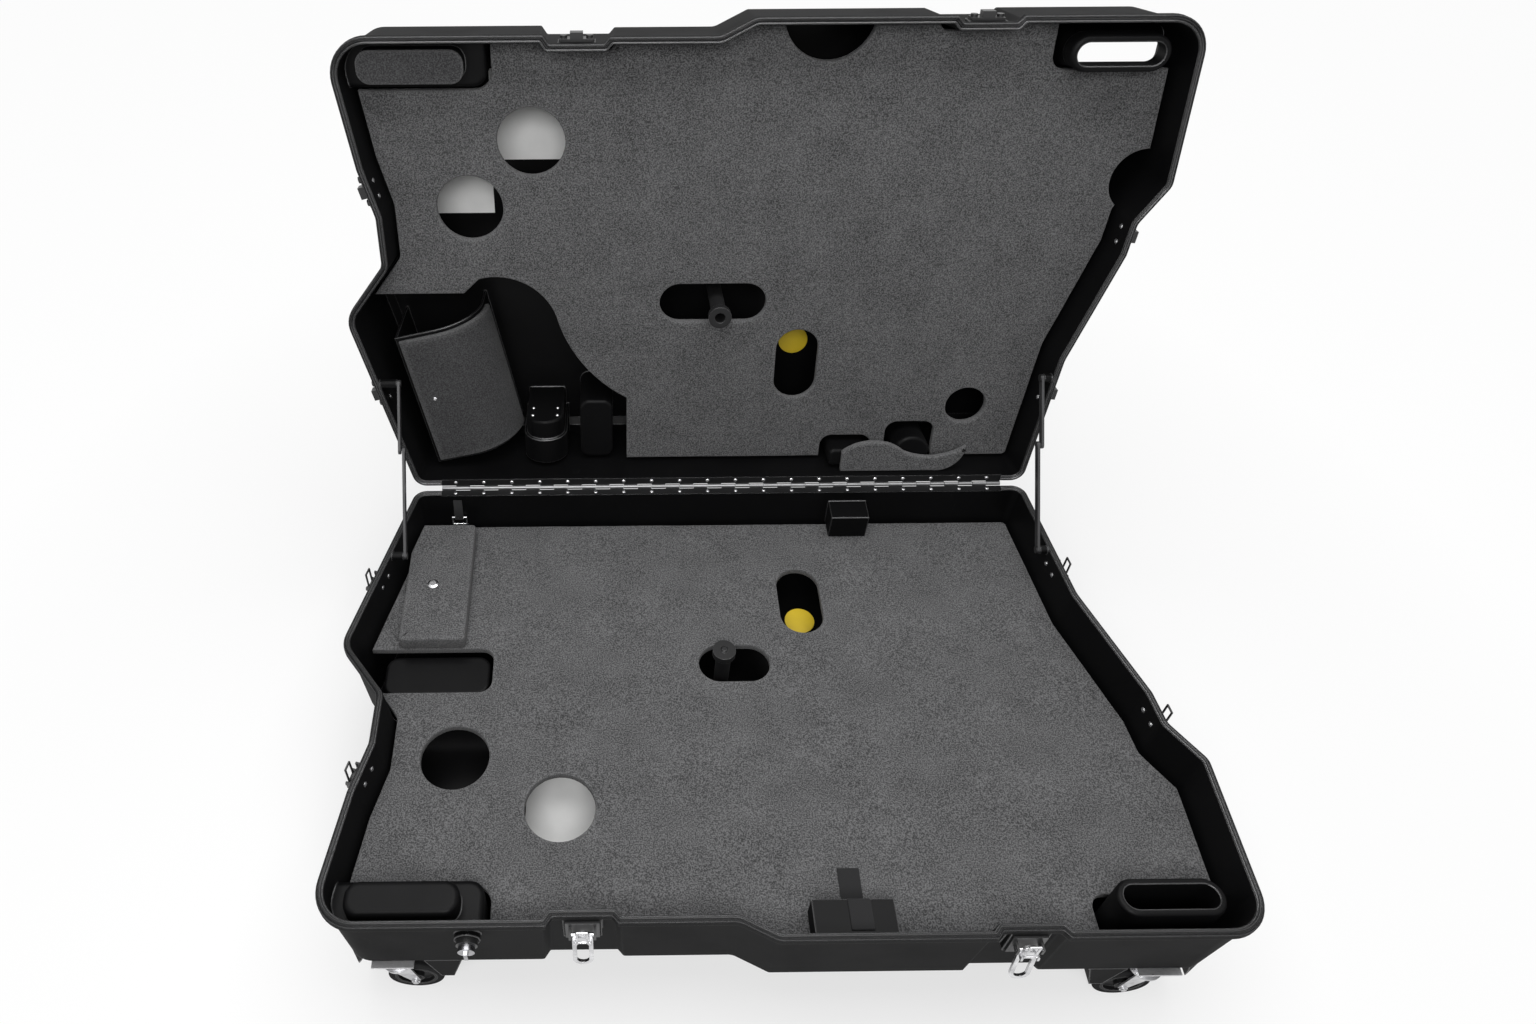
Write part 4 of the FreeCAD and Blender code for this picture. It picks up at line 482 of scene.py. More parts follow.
SHELL = MouldedPlastic(
    "satin_black_shell", (0.004, 0.004, 0.0043), 0.34, edge_mm=3.2, specular=0.08)
FITTING = MouldedPlastic(
    "black_fitting_plastic", (0.011, 0.011, 0.0115), 0.36, edge_mm=0.8, specular=0.25)
TYRE = MouldedPlastic(
    "caster_rubber", (0.012, 0.012, 0.0125), 0.6, grain_mm=0.08, edge_mm=1.0, glint_metallic=0.1)
SEAL = MouldedPlastic(
    "rim_seal_rubber", (0.007, 0.007, 0.0075), 0.36, grain_mm=0.02, edge_mm=0.3, specular=0.4)
YELLOW = MouldedPlastic(
    "yellow_disc_plastic", (0.7, 0.5, 0.02), 0.35, rubbed=(0.8, 0.66, 0.2), edge_mm=0.6,
    specular=0.5, coat=0.2)
FOAM = FoamSheet("charcoal_foam", (0.034, 0.034, 0.035), 0.95)
# Darker copy of the foam. On the curved pad by the hinge its darkness is painted shade; on the
# lid's tower pad it is that pad's own darker tone.
SHADED_AND_DARK_FOAM = FoamSheet("shaded_and_dark_column_foam", (0.024, 0.024, 0.025), 0.95, pale=(0.074, 0.074, 0.076))
BRIGHT = PlatedSteel("bright_plated_steel", (0.78, 0.78, 0.79), 0.24)
ZINC = PlatedSteel("zinc_plated_steel", (0.68, 0.68, 0.69), 0.34, dull=(0.42, 0.42, 0.43))
CHROME = PlatedSteel("dark_chrome_knob", (0.42, 0.42, 0.44), 0.2, dull=(0.25, 0.25, 0.26))
HINGE = HingeSteel(
    "black_hinge_steel", (0.01, 0.01, 0.0105), 0.36, bare=(0.03, 0.03, 0.031), specular=0.2)
BLACK_METAL = CoatedSteel("black_coated_steel", (0.014, 0.014, 0.0145), 0.36)
STAY_METAL = CoatedSteel("dark_grey_stay_steel", (0.035, 0.035, 0.037), 0.4)
CARD = CardStock("blank_white_card", (0.88, 0.88, 0.87), 0.7)
WEBBING = WebbingCloth("black_webbing", (0.012, 0.012, 0.0125), 0.85)


@dataclass(frozen=True)
class HalfFrame:
    """Axes of one half's rim plane in the shared frame.

    u runs along the hinge, v to it in the base and from it in the lid, n out of the mouth.
    """

    origin: Array
    axes: Array

    @classmethod
    def of(cls, side: Side) -> "HalfFrame":
        """The frame of a half, from the hinge joint and how far the lid leans back at rest."""
        lean = math.radians(LID_HINGE["range_deg"][1] - 90.0)
        rise, back = math.cos(lean), math.sin(lean)
        axes = {Side.BASE: ((1, 0, 0), (0, 1, 0), (0, 0, 1)),
                Side.LID: ((1, 0, 0), (0, back, rise), (0, -rise, back))}[side]
        return cls(np.array(LID_HINGE["pos_m"]), np.array(axes, float))

    def local(self, points: Array) -> Array:
        """Points of the shared frame in this half's own axes."""
        return (points - self.origin) @ self.axes.T

    def shared(self, points: Array) -> Array:
        """Points of this half's own axes in the shared frame."""
        return points @ self.axes + self.origin


class Mesh:
    """Builds and reads meshes as whole arrays."""

    # Corners that round to the same multiple of this are one.
    WELD = 2e-3 * MM

    @classmethod
    def of_node(cls, name: str) -> tuple[Array, Array]:
        """Corners and triangles of a CAD node, with corners at one place made one.

        Args:
            name: the CAD node.

        Returns:
            Points (n, 3) in metres and triangles (m, 3).
        """
        mesh = frame["nodes"][name].data
        points = np.empty(len(mesh.vertices) * 3, np.float32)
        mesh.vertices.foreach_get("co", points)
        mesh.calc_loop_triangles()
        corners = np.empty(len(mesh.loop_triangles) * 3, np.int32)
        mesh.loop_triangles.foreach_get("vertices", corners)
        points = points.reshape(-1, 3).astype(float)
        keys = np.round(points / cls.WELD).astype(np.int64)
        _, first, place = np.unique(keys, axis=0, return_index=True, return_inverse=True)
        return points[first], place.reshape(-1)[corners].reshape(-1, 3)

    @staticmethod
    def grid_faces(rows: int, columns: int, closed: bool = False) -> Array:
        """Quads of a grid stored row by row, closed round its columns if asked."""
        across = np.arange(columns if closed else columns - 1)
        row, column = np.meshgrid(np.arange(rows - 1) * columns, across, indexing="ij")
        here, ahead = row + column, row + (column + 1) % columns
        return np.stack([here, ahead, ahead + columns, here + columns], -1).reshape(-1, 4)

    @staticmethod
    def piece(name: str, points: Array, faces: list, finish: Finish, body: str, slot: str,
              replaces: Sequence[str] = ()) -> bpy.types.Object:
        """Makes a dressed piece that rides on a body.

        Args:
            name: name of the piece.
            points: its corners (n, 3) in the shared frame.
            faces: lists of corner numbers, facing outwards.
            finish: what it is dressed with.
            body: the CAD body that it rides on.
            slot: the record's material slot; not used.
            replaces: CAD nodes that it stands for.

        Returns:
            The new object.
        """
        mesh = bpy.data.meshes.new(name)
        mesh.from_pydata(points.tolist(), [], faces)
        mesh.shade_smooth()
        mesh.materials.append(finish.material())
        made = placed(name, mesh)
        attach(made, body)
        if replaces:
            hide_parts(*replaces)
        LOG.info("%s: %d corners, rides on %s", name, len(points), body)
        return made

    @staticmethod
    def point_value(made: bpy.types.Object, name: str, values: Array) -> None:
        """Stores one number for each corner as a named attribute."""
        layer = made.data.attributes.new(name, "FLOAT", "POINT")
        layer.data.foreach_set("value", values.astype(np.float32))

    @staticmethod
    def dress(names: Sequence[str], finish: Finish) -> None:
        """Gives CAD nodes a finish."""
        for name in names:
            data = frame["nodes"][name].data
            data.materials.clear()
            data.materials.append(finish.material())
            LOG.info("%s: dressed with %s", name, finish.name)


@dataclass
class Outline:
    """Closed loops round a flat face, with the material on their left.

    Each point has the number of the next point of its loop.
    """

    points: Array
    after: Array

    # Least cosine of a mitre, spots measured at a time, and the distance at which points are one.
    MITRE, BATCH, WELD = 0.5, 500, 1e-9

    @classmethod
    def round_face(cls, points: Array, triangles: Array, step: float) -> "Outline":
        """Loops round a set of triangles.

        An edge whose opposite isn't in the set is on the border; each is divided to the step.

        Args:
            points: corners in the face's own plane (n, 2).
            triangles: corner numbers (m, 3), counter-clockwise.
            step: longest piece of an edge.

        Returns:
            The loops, divided.
        """
        start = triangles.ravel()
        end = np.roll(triangles, -1, axis=1).ravel()
        alone = ~np.isin(start * len(points) + end, end * len(points) + start)
        start, end = start[alone], end[alone]
        span = points[end] - points[start]
        count = np.maximum(1, np.ceil(norm(span, axis=1) / step)).astype(int)
        first = np.cumsum(count) - count
        edge = np.repeat(np.arange(len(start)), count)
        share = (np.arange(count.sum()) - first[edge]) / count[edge]
        begins = np.zeros(len(points), int)
        begins[start] = first
        after = np.arange(count.sum()) + 1
        after[first + count - 1] = begins[end]
        return cls(points[start][edge] + span[edge] * share[:, None], after)

    def inward(self) -> Array:
        """Mitred step into the material at each point, one unit deep."""
        along = self.points[self.after] - self.points
        left = np.stack([-along[:, 1], along[:, 0]], 1) / norm(along, axis=1)[:, None]
        behind = np.empty_like(left)
        behind[self.after] = left
        both = left + behind
        both /= norm(both, axis=1)[:, None]
        return both / np.maximum((both * left).sum(1), self.MITRE)[:, None]

    def largest(self) -> "Outline":
        """Only the loop that encloses the largest area.

        A point's label is its loop's lowest point number, found by jumping twice as far each time.
        """
        label, jump = np.arange(len(self.after)), self.after
        for _ in range(len(label).bit_length()):
            label = np.minimum(label, label[jump])
            jump = jump[jump]
        ahead = self.points[self.after]
        cross = self.points[:, 0] * ahead[:, 1] - self.points[:, 1] * ahead[:, 0]
        keep = np.flatnonzero(label == np.argmax(np.bincount(label, cross, len(label))))
        place = np.zeros(len(label), int)
        place[keep] = np.arange(len(keep))
        return Outline(self.points[keep], place[self.after[keep]])

    def holds(self, spots: Array) -> Array:
        """Whether each spot is inside, by counting the borders to its right."""
        a, b = self.points[None], self.points[self.after][None]
        x, y = spots[:, None, 0], spots[:, None, 1]
        across = (a[..., 1] > y) != (b[..., 1] > y)
        rise = np.where(across, b[..., 1] - a[..., 1], 1.0)
        hit = a[..., 0] + (y - a[..., 1]) / rise * (b[..., 0] - a[..., 0])
        return (across & (x < hit)).sum(1) % 2 == 1

    def fill(self, step: float, clear: float) -> tuple[Array, Array]:
        """Triangles over the whole face.

        Args:
            step: spacing of the grid of points inside.
            clear: how far these stay from the loops.

        Returns:
            The grid points inside, and triangles over the loops' points followed by them.
        """
        low, high = self.points.min(0), self.points.max(0)
        x, y = np.meshgrid(np.arange(low[0], high[0], step), np.arange(low[1], high[1], step))
        spots = np.stack([x.ravel(), y.ravel()], 1)
        spots = spots[self.holds(spots)]
        near = np.concatenate([norm(part[:, None] - self.points[None], axis=2).min(1)
                               for part in np.array_split(spots, 1 + len(spots) // self.BATCH)])
        spots = spots[near > clear]
        both = np.concatenate([self.points, spots])
        rim = np.stack([np.arange(len(self.points)), self.after], 1)
        found = delaunay_2d_cdt(list(map(Vector, both.tolist())), rim.tolist(), [], 0, self.WELD)
        source = np.fromiter(map(itemgetter(0), found[3]), int)
        triangles = source[np.array(found[2])]
        inside = self.holds(both[triangles].mean(1))
        return spots, triangles[inside]


@dataclass
class FoamPad:
    """Foam sheet or block cut to its CAD node's outline, with rounded and slightly uneven edges."""

    node: str
    side: Side
    step: float = 12 * MM
    wave: float = 0.5 * MM
    round_mm: float = 2.6
    finish: Finish = FOAM
    level: float = 0.3 * MM
    arc_rings: int = 5
    foot: float = 0.8 * MM
    tuck: float = 0.4 * MM
    edge_cut: Range = (0.35, 1.0)
    foot_cut: float = 0.6
    grid_gap: float = 0.3

    # Radians a metre along u and v of the waves in an uneven face.
    WAVES = ((31, 12), (-9, 43), (71, 71))

    def build(self) -> None:
        """Makes the padded piece that stands for the node.

        The node's face towards the mouth gives the loops; a profile of rings carries each round the
        edge and down the side; the face and its copy at the back are filled with a grid.
        """
        half = HalfFrame.of(self.side)
        points, triangles = Mesh.of_node(self.node)
        local = half.local(points)
        top, low = local[:, 2].max(), local[:, 2].min()
        face = triangles[(local[triangles, 2] > top - self.level).all(1)]
        loops = Outline.round_face(local[:, :2], face, self.step)
        turn = np.linspace(0.0, math.pi / 2, self.arc_rings)
        reach, drop = self.round_mm * MM, top - low
        border = 2 * reach
        insets = np.concatenate([[border], reach * (1 - np.sin(turn)), [0.0, self.tuck]])
        depths = np.concatenate([[0.0], reach * (1 - np.cos(turn)), [drop - self.foot, drop]])
        arc_cut = np.linspace(*self.edge_cut, self.arc_rings)
        cut = np.concatenate([[0.0], arc_cut, [1.0, self.foot_cut]])
        rings = loops.points[None] + loops.inward()[None] * insets[:, None, None]
        rise = top - depths[:, None] + self.uneven(rings) * (1 - depths / drop)[:, None]
        spots, cover = loops.fill(self.step, border + self.grid_gap * self.step)
        flat = np.concatenate([np.concatenate([rings, rise[..., None]], 2).reshape(-1, 3),
                               np.column_stack([spots, top + self.uneven(spots)]),
                               np.column_stack([spots, np.full(len(spots), low)])])
        count, last = len(loops.points), (len(insets) - 1) * len(loops.points)
        ring = np.arange(0, last, count)[:, None]
        here, ahead = ring + np.arange(count)[None], ring + loops.after[None]
        sides = np.stack([here, here + count, ahead + count, ahead], -1).reshape(-1, 4)
        inside = cover >= count
        front = np.where(inside, cover + last, cover)
        back = np.where(inside, front + len(spots), cover + last)[:, ::-1]
        faces = sides.tolist() + front.tolist() + back.tolist()
        made = Mesh.piece(self.node + "_cut", half.shared(flat), faces, self.finish,
                          self.side.value, "foam", [self.node])
        cut = np.concatenate([np.repeat(cut, count), np.zeros(2 * len(spots))])
        Mesh.point_value(made, "cut", cut)

    def uneven(self, spots: Array) -> Array:
        """Slow rise and fall of a foam face: the mean of three crossing sine waves."""
        u, v = spots[..., 0], spots[..., 1]
        return self.wave * sum(np.sin(u * a + v * b) for a, b in self.WAVES) / len(self.WAVES)


@dataclass
class CurvedPad:
    """Foam pad that lies flat on the lid's column and then turns back round it."""

    node: str = "lid_curved_pad"
    edge: float = 3.0 * MM
    thick: float = 8.0 * MM
    step: float = 8.0 * MM
    lean_deg: float = 12.0
    edge_steps: int = 5
    least_steps: int = 3

    def build(self) -> None:
        """Makes the padded piece that stands for the node.

        A point is given by the way s along the flat and the quarter round, the way w up the column
        and the height h over it; h falls on a quarter round near the borders. The front grid and
        the back grid, at h 0, are joined round their borders and turned by the column's lean.
        """
        half = HalfFrame.of(Side.LID)
        lean = math.radians(self.lean_deg)
        cosine, sine = math.cos(lean), math.sin(lean)
        turned = np.array([[cosine, -sine, 0], [sine, cosine, 0], [0, 0, 1]])
        local = half.local(Mesh.of_node(self.node)[0]) @ turned
        low, high = local.min(0), local.max(0)
        radius = high[2] - low[2]
        flat = high[0] - radius - low[0]
        s = self.spread(flat + radius * math.pi / 2)
        w = self.spread(high[1] - low[1])
        way, up = np.meshgrid(s, w, indexing="ij")
        border = np.minimum.reduce([way, s[-1] - way, up, w[-1] - up])
        fall = self.edge - np.sqrt(self.edge ** 2 - np.maximum(self.edge - border, 0.0) ** 2)
        turn = np.maximum(way - flat, 0.0) / radius
        layers = []
        for height in (self.thick - fall, np.zeros_like(fall)):
            r = radius - self.thick + height
            u = low[0] + np.minimum(way, flat) + r * np.sin(turn)
            n = low[2] + r * np.cos(turn)
            layers.append(np.stack([u, low[1] + up, n], -1).reshape(-1, 3))
        rows, columns = len(s), len(w)
        count = rows * columns
        number = np.arange(count).reshape(rows, columns)
        rim = np.concatenate([number[:-1, 0], number[-1, :-1], number[:0:-1, -1], number[0, :0:-1]])
        ahead = np.roll(rim, -1)
        front = Mesh.grid_faces(rows, columns)[:, ::-1]
        back = front[:, ::-1] + count
        sides = np.stack([rim, rim + count, ahead + count, ahead], 1)
        points = half.shared(np.concatenate(layers) @ turned.T)
        faces = np.concatenate([front, back, sides]).tolist()
        # The darker foam here is painted shade on this pad by the hinge.
        made = Mesh.piece("lid_curved_pad_cut", points, faces, SHADED_AND_DARK_FOAM, Side.LID.value, "foam",
                          [self.node])
        worn = np.clip(1 - border / (2 * self.edge), 0, 1).ravel()
        Mesh.point_value(made, "cut", np.concatenate([worn, np.ones(count)]))

    def spread(self, length: float) -> Array:
        """Places along a length: close together at both ends, then evenly."""
        ends = self.edge * (1 - np.cos(np.linspace(0, math.pi / 2, self.edge_steps)))
        steps = max(self.least_steps, int(length / self.step))
        middle = np.linspace(ends[-1], length - ends[-1], steps)
        return np.concatenate([ends[:-1], middle, length - ends[-2::-1]])


@dataclass
class FoamLinings:
    """All the foam of the case: two pierced sheets, the loose pads and the curved pad."""

    pads: Sequence[FoamPad | CurvedPad] = (
        FoamPad("base_foam", Side.BASE),
        FoamPad("lid_foam", Side.LID),
        FoamPad("rear_pad", Side.BASE, step=8 * MM, round_mm=4.0),
        FoamPad("lid_flap", Side.LID, step=6 * MM, round_mm=3.0),
        FoamPad("lid_tower_pad", Side.LID, step=6 * MM, round_mm=1.8, finish=SHADED_AND_DARK_FOAM),
        CurvedPad(),
    )

    def build(self) -> None:
        """Makes every pad in turn."""
        for pad in self.pads:
            pad.build()


@dataclass
class Ribbon:
    """A flat strap: a rounded oblong section carried along a path in a plane across X."""

    name: str
    node: str
    width: float
    thick: float
    path: Array
    arc_steps: int = 5
    flat_steps: int = 9

    # Points in each bend of a path, and the least number in a whole one.
    BEND_STEPS, LEAST_STEPS = 9, 8

    def build(self) -> None:
        """Makes the strap that stands for the node.

        Each point is the path's point, plus the section's width along X and its thickness along the
        path's normal; both ends are closed. The UV map holds the way along and across, in metres.
        """
        low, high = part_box(self.node)
        middle = 0.5 * (low.x + high.x)
        along = np.gradient(self.path, axis=0)
        along /= norm(along, axis=1)[:, None]
        normal = np.stack([-along[:, 1], along[:, 0]], 1)
        half, edge = self.width / 2, self.thick / 2
        turn = np.linspace(-math.pi / 2, math.pi / 2, self.arc_steps)
        right = np.stack([half - edge + edge * np.cos(turn), edge * np.sin(turn)], 1)
        flats = np.linspace(-1, 1, self.flat_steps)[1:-1] * (half - edge)
        upper = np.stack([flats[::-1], np.full(len(flats), edge)], 1)
        section = np.concatenate([right, upper, -right, -upper])
        plane = self.path[:, None] + normal[:, None] * section[None, :, 1, None]
        x = np.broadcast_to(middle + section[None, :, 0], plane.shape[:2])
        points = np.concatenate([x[..., None], plane], 2).reshape(-1, 3)
        rows, columns = plane.shape[:2]
        faces = Mesh.grid_faces(rows, columns, closed=True).tolist()
        faces += [list(range(columns))[::-1], list(range((rows - 1) * columns, rows * columns))]
        made = Mesh.piece(self.name, points, faces, WEBBING, Side.BASE.value, "webbing",
                          [self.node])
        length = self.lengths(self.path)
        uv = np.stack(np.broadcast_arrays(length[:, None], section[None, :, 0]), 2)
        loops = np.empty(len(made.data.loops), np.int32)
        made.data.loops.foreach_get("vertex_index", loops)
        layer = made.data.uv_layers.new(name="weave")
        layer.data.foreach_set("uv", uv.reshape(-1, 2)[loops].astype(np.float32).ravel())

    @staticmethod
    def lengths(path: Array) -> Array:
        """Way along a path to each of its points."""
        return np.concatenate([[0.0], np.cumsum(norm(np.diff(path, axis=0), axis=1))])

    @classmethod
    def rounded_path(cls, corners: Array, radius: float, step: float) -> Array:
        """Even path through corners, each bend a quadratic curve within a radius of its corner."""
        parts = [corners[:1]]
        blend = np.linspace(0, 1, cls.BEND_STEPS)[:, None]
        for before, at, after in zip(corners[:-2], corners[1:-1], corners[2:]):
            enter = at + (before - at) / norm(before - at) * radius
            leave = at + (after - at) / norm(after - at) * radius
            bend = 2 * blend * (1 - blend) * at
            parts.append((1 - blend) ** 2 * enter + bend + blend ** 2 * leave)
        rough = np.concatenate(parts + [corners[-1:]])
        length = cls.lengths(rough)
        even = np.linspace(0, length[-1], max(cls.LEAST_STEPS, int(length[-1] / step)))
        return np.stack([np.interp(even, length, rough[:, axis]) for axis in range(2)], 1)


@dataclass
class Straps:
    """Front strap over its boss and the rear tab folded round its ring."""

    thick: float = 1.6 * MM
    node_thick: float = 2.0 * MM
    top_run: float = 40 * MM
    flat_share: float = 0.6
    bend: float = 6 * MM
    step: float = 1.5 * MM
    wrap: Range = (0.5 * math.pi, -math.pi)
    wrap_steps: int = 25
    wrap_lead: float = 0.2

    def build(self) -> None:
        """Makes both straps and dresses the ring."""
        self.front()
        self.rear()
        Mesh.dress(["rear_ring"], BRIGHT)

    def front(self) -> None:
        """Strap over the boss, down its face and out on the foam, its free end lifted a little."""
        low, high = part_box("front_strap")
        mid = self.node_thick / 2
        drop = low.y + self.top_run + mid
        lift = self.flat_share * high.y + (1 - self.flat_share) * drop
        corners = np.array([[low.y, high.z - mid], [drop, high.z - mid], [drop, low.z + mid],
                            [lift, low.z + mid], [high.y, low.z + 3 * mid]])
        path = Ribbon.rounded_path(corners, self.bend, self.step)
        Ribbon("front_strap_woven", "front_strap", high.x - low.x, self.thick, path).build()

    def rear(self) -> None:
        """Tab down the rear wall, round the ring's top bar and up again behind itself."""
        low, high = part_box("rear_tab")
        radius = 0.5 * (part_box("rear_ring")[1].z - low.z)
        bar = np.array([low.y + radius, low.z + radius])
        top = np.array([high.y - self.node_thick / 2, high.z])
        turn = np.linspace(*self.wrap, self.wrap_steps)
        loop = bar + (radius - self.thick / 2) * np.stack([np.cos(turn), np.sin(turn)], 1)
        back = loop[0] + np.array([0.0, self.wrap_lead * radius])
        path = np.concatenate([[top], [back], loop])
        Ribbon("rear_tab_woven", "rear_tab", high.x - low.x, self.thick, path).build()


@dataclass
class Shells:
    """The two moulded halves and the rubber bead in the base's rim groove."""

    groove_floor: float = 1.75 * MM
    groove_width: float = 2.0 * MM
    proud: float = 0.7 * MM
    rim_face: float = 0.25 * MM
    slack: float = 0.05 * MM
    step: float = 15 * MM
    arc_steps: int = 6

    def build(self) -> None:
        """Dresses the halves and lays the bead."""
        Mesh.dress(["base_shell", "grip_boss", "lid_shell"], SHELL)
        self.bead()

    def bead(self) -> None:
        """Half-round bead along the groove, which rides on the base.

        The loop round the groove floor runs along both of its borders. It is carried up the side,
        over a quarter round that stands proud of the rim to the groove's middle, and down again.
        """
        half = HalfFrame.of(Side.BASE)
        points, triangles = Mesh.of_node("base_shell")
        local = half.local(points)
        level = np.abs(local[triangles, 2] + self.groove_floor).max(1) < self.slack
        a, b, c = (local[triangles[:, k], :2] for k in range(3))
        floor = triangles[level & (np.cross(b - a, c - a) > 0)]
        loops = Outline.round_face(local[:, :2], floor, self.step).largest()
        turn = np.linspace(0, math.pi / 2, self.arc_steps)
        radius = self.groove_width / 2 - self.slack
        across = self.groove_width / 2 - radius * np.cos(turn)
        rise = -self.rim_face + self.proud * np.sin(turn)
        foot = -self.groove_floor + self.slack
        across = np.concatenate([across[:1], across, across[-1:]])
        rise = np.concatenate([[foot], rise, [foot]])
        rings = loops.points[None] + loops.inward()[None] * across[:, None, None]
        rise = np.broadcast_to(rise[:, None, None], rings.shape[:2] + (1,))
        points = half.shared(np.concatenate([rings, rise], 2).reshape(-1, 3))
        count = len(loops.points)
        ring = np.arange(len(across))[:, None] * count
        above = np.roll(ring, -1, axis=0)
        here, ahead = np.arange(count)[None], loops.after[None]
        faces = np.stack([ring + here, ring + ahead, above + ahead, above + here], -1)
        Mesh.piece("rim_seal_bead", points, faces.reshape(-1, 4).tolist(), SEAL, Side.BASE.value,
                   "tyre_rubber")


@dataclass
class Hardware:
    """Hinge, latches, lock, stays, casters and inner fittings: CAD pieces with their finishes."""

    front_latches: Sequence[str] = ("front_left", "front_right")
    side_latches: Sequence[str] = ("left_front", "left_rear", "right_front", "right_rear")
    stay_links: Sequence[str] = ("left_lower", "left_upper", "right_lower", "right_upper")
    casters: Sequence[str] = ("fl", "fr", "rl", "rr")

    def build(self) -> None:
        """Dresses every fitting."""
        for finish, names in self.finishes().items():
            Mesh.dress(names, finish)

    def finishes(self) -> dict[Finish, list[str]]:
        """CAD nodes by finish: the front latches are bright, the others black."""
        return {
            HINGE: ["hinge_leaf_base", "hinge_leaf_lid", "hinge_pin"],
            BRIGHT: ["rivets_base", "rivets_lid", *self.moving(self.front_latches)],
            BLACK_METAL: ["latch_plates", "latch_keepers", "lock_body", "stay_pins_base",
                          "stay_pins_lid", *self.moving(self.side_latches)],
            CHROME: ["lock_knob"],
            STAY_METAL: [f"stay_{link}" for link in self.stay_links],
            ZINC: ["caster_plates", *(f"caster_{at}_fork" for at in self.casters)],
            FITTING: ["base_posts", "lid_posts", *(f"caster_{at}_wheel" for at in self.casters)],
            TYRE: [f"caster_{at}_tyre" for at in self.casters],
            YELLOW: ["base_disc", "lid_disc"],
            CARD: ["base_card", "lid_cards"],
        }

    @staticmethod
    def moving(latches: Sequence[str]) -> list[str]:
        """Levers and bails of latches."""
        return [f"latch_{name}_{part}" for name in latches for part in ("lever", "bail")]


@dataclass(frozen=True)
class Softbox:
    """A rectangular soft light: its place, the point it faces and its size, in metres."""

    name: str
    at: Point
    towards: Point
    size: Range
    watts: float

    def build(self) -> None:
        """Places the light and turns it to the point that it faces."""
        light = bpy.data.lights.new(self.name, "AREA")
        light.shape = "RECTANGLE"
        light.size, light.size_y = self.size
        light.energy = self.watts
        made = placed(self.name, light)
        made.location = self.at
        facing = Vector(self.towards) - Vector(self.at)
        made.rotation_euler = facing.to_track_quat("-Z", "Y").to_euler()


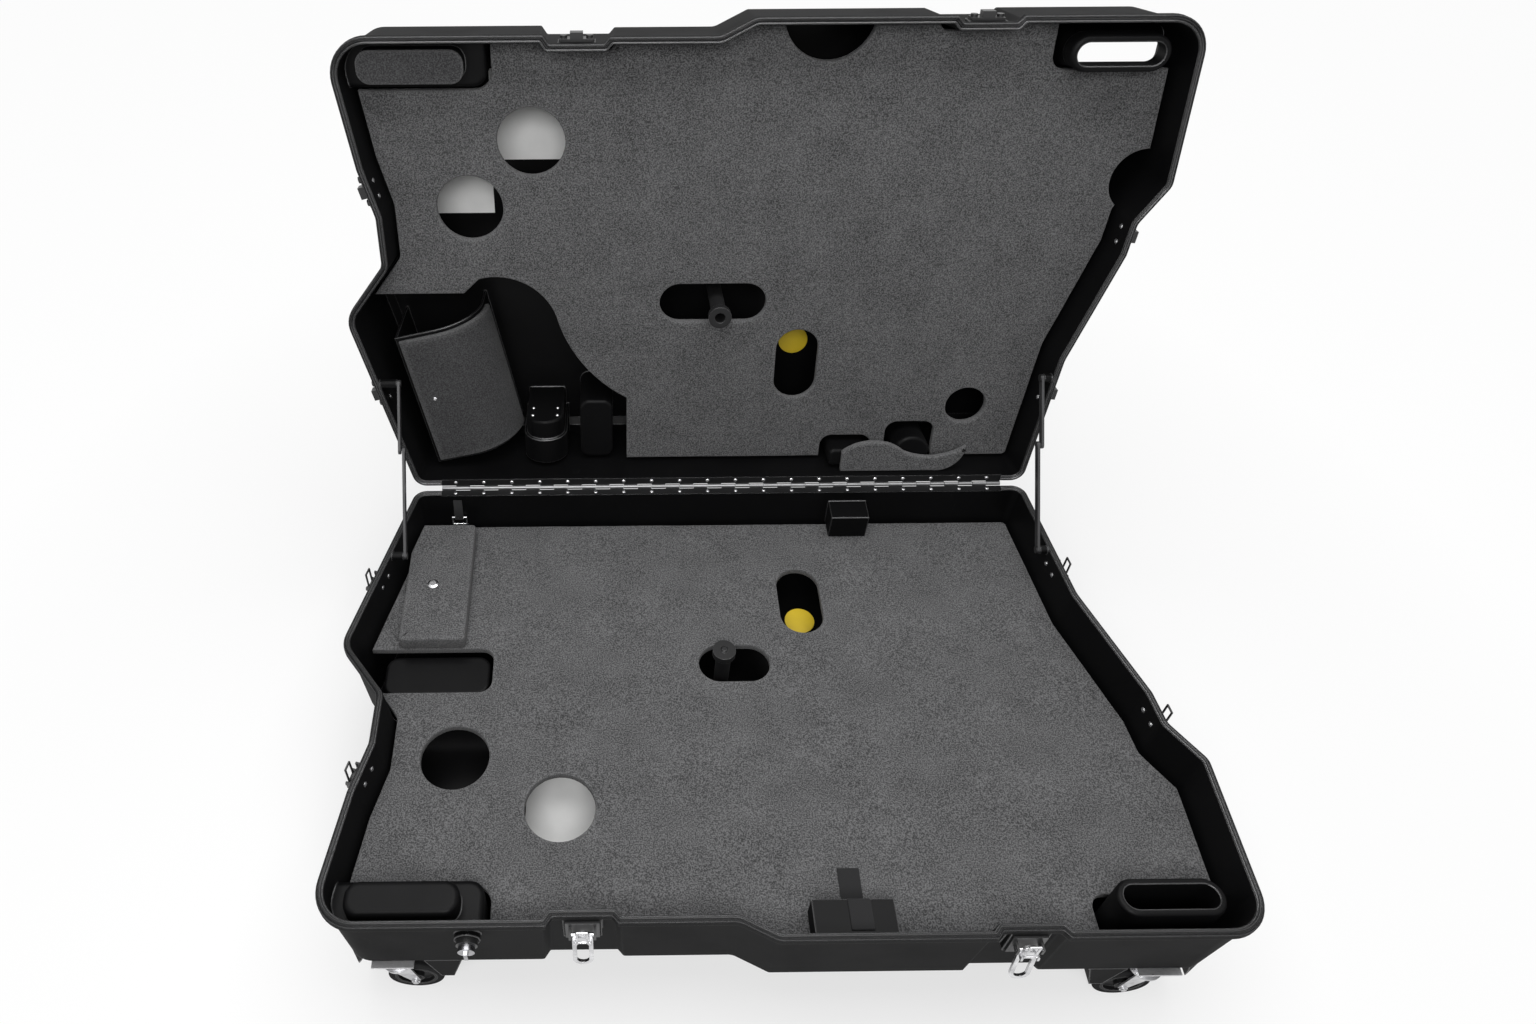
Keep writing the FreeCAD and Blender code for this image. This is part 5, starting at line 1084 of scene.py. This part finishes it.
@dataclass
class Studio:
    """White floor and surroundings, soft light from above and the camera's side, the camera."""

    image_width: float = 1536.0
    image_height: float = 1024.0
    focal_px: float = 1098.67
    centre_px: Range = (615.27, 452.0)
    pitch_deg: float = 46.11
    roll_deg: float = -0.233
    yaw_deg: float = 0.408
    eye_from_hinge: Point = (-0.2073, -1.2675, 1.4036)
    sensor_mm: float = 36.0
    clip: Range = (0.05, 60.0)
    floor_half: float = 14.0
    floor_colour: Colour = (0.9, 0.9, 0.9)
    glow_distance: Range = (0.6, 1.5)
    glow_share: Range = (0.56, 0.95)
    sky_strength: Range = (0.24, 1.0)
    lamps: Sequence[Softbox] = (
        Softbox("overhead_softbox", (0.0, 0.25, 3.3), (0.0, 0.0, 0.2), (3.2, 2.4), 84.0),
        Softbox("camera_fill", (-0.3, -1.9, 2.5), (0.0, 0.1, 0.5), (1.4, 0.8), 40.0),
    )

    def build(self) -> None:
        """Sets up the stage."""
        bpy.context.scene.view_settings.view_transform = "Standard"
        self.floor()
        self.world()
        for lamp in self.lamps:
            lamp.build()
        self.camera()

    def floor(self) -> None:
        """Large pale floor that glows to the camera, less near the case, where its shadow is."""
        h = self.floor_half
        mesh = bpy.data.meshes.new("studio_floor")
        mesh.from_pydata([(-h, -h, 0), (h, -h, 0), (h, h, 0), (-h, h, 0)], [], [(0, 1, 2, 3)])
        paint = bpy.data.materials.new("pale_floor")
        tree = Tree.emptied(paint)
        place = tree.node("ShaderNodeTexCoord").outputs["Object"]
        away = tree.vector_math("LENGTH", place)
        share = tree.times(self.seen(tree), tree.remap(away, self.glow_distance, self.glow_share))
        diffuse = tree.node("ShaderNodeBsdfDiffuse", {"Color": (*self.floor_colour, 1.0)})
        glow = tree.node("ShaderNodeEmission", {"Color": WHITE, "Strength": 1.0})
        blend = tree.node("ShaderNodeMixShader",
                          {0: share, 1: diffuse.outputs[0], 2: glow.outputs[0]})
        tree.node("ShaderNodeOutputMaterial", {"Surface": blend.outputs[0]})
        mesh.materials.append(paint)
        made = placed("studio_floor", mesh)

    @staticmethod
    def seen(tree: Tree) -> Socket:
        """1 for rays from the camera, reflections and glass, else 0."""
        path = tree.node("ShaderNodeLightPath").outputs
        either = tree.math("MAXIMUM", path["Is Camera Ray"], path["Is Glossy Ray"])
        return tree.math("MAXIMUM", either, path["Is Transmission Ray"])

    def world(self) -> None:
        """Even surroundings, dim as a light and white to the camera."""
        world = bpy.data.worlds.new("studio")
        tree = Tree.emptied(world)
        strength = tree.remap(self.seen(tree), UNIT, self.sky_strength)
        sky = tree.node("ShaderNodeBackground", {"Color": WHITE, "Strength": strength})
        tree.node("ShaderNodeOutputWorld", {"Surface": sky.outputs[0]})
        bpy.context.scene.world = world

    def camera(self) -> None:
        """Camera at the photograph's place, with the picture's own centre as a shift."""
        pitch, roll, yaw = map(math.radians, (self.pitch_deg, self.roll_deg, self.yaw_deg))
        ahead = Vector((math.sin(yaw) * math.cos(pitch), math.cos(yaw) * math.cos(pitch),
                        -math.sin(pitch)))
        level = Vector((math.cos(yaw), -math.sin(yaw), 0.0))
        upright = level.cross(ahead)
        right = math.cos(roll) * level + math.sin(roll) * upright
        up = -math.sin(roll) * level + math.cos(roll) * upright
        turn = Matrix((right, up, -ahead)).transposed().to_4x4()
        data = bpy.data.cameras.new("camera")
        data.sensor_fit = "HORIZONTAL"
        data.sensor_width = self.sensor_mm
        data.lens = self.sensor_mm * self.focal_px / self.image_width
        data.shift_x = (self.image_width / 2 - self.centre_px[0]) / self.image_width
        data.shift_y = (self.centre_px[1] - self.image_height / 2) / self.image_width
        data.clip_start, data.clip_end = self.clip
        made = placed("camera", data)
        eye = HalfFrame.of(Side.BASE).origin + np.array(self.eye_from_hinge)
        made.matrix_world = Matrix.Translation(eye) @ turn
        bpy.context.scene.camera = made


def main() -> None:
    """Builds and dresses every sub-assembly in order, then the studio."""
    logging.basicConfig(level=logging.INFO, format="%(name)s: %(message)s")
    for part in (Shells(), FoamLinings(), Straps(), Hardware(), Studio()):
        LOG.info("building %s", type(part).__name__)
        part.build()


if __name__ == "__main__":
    main()
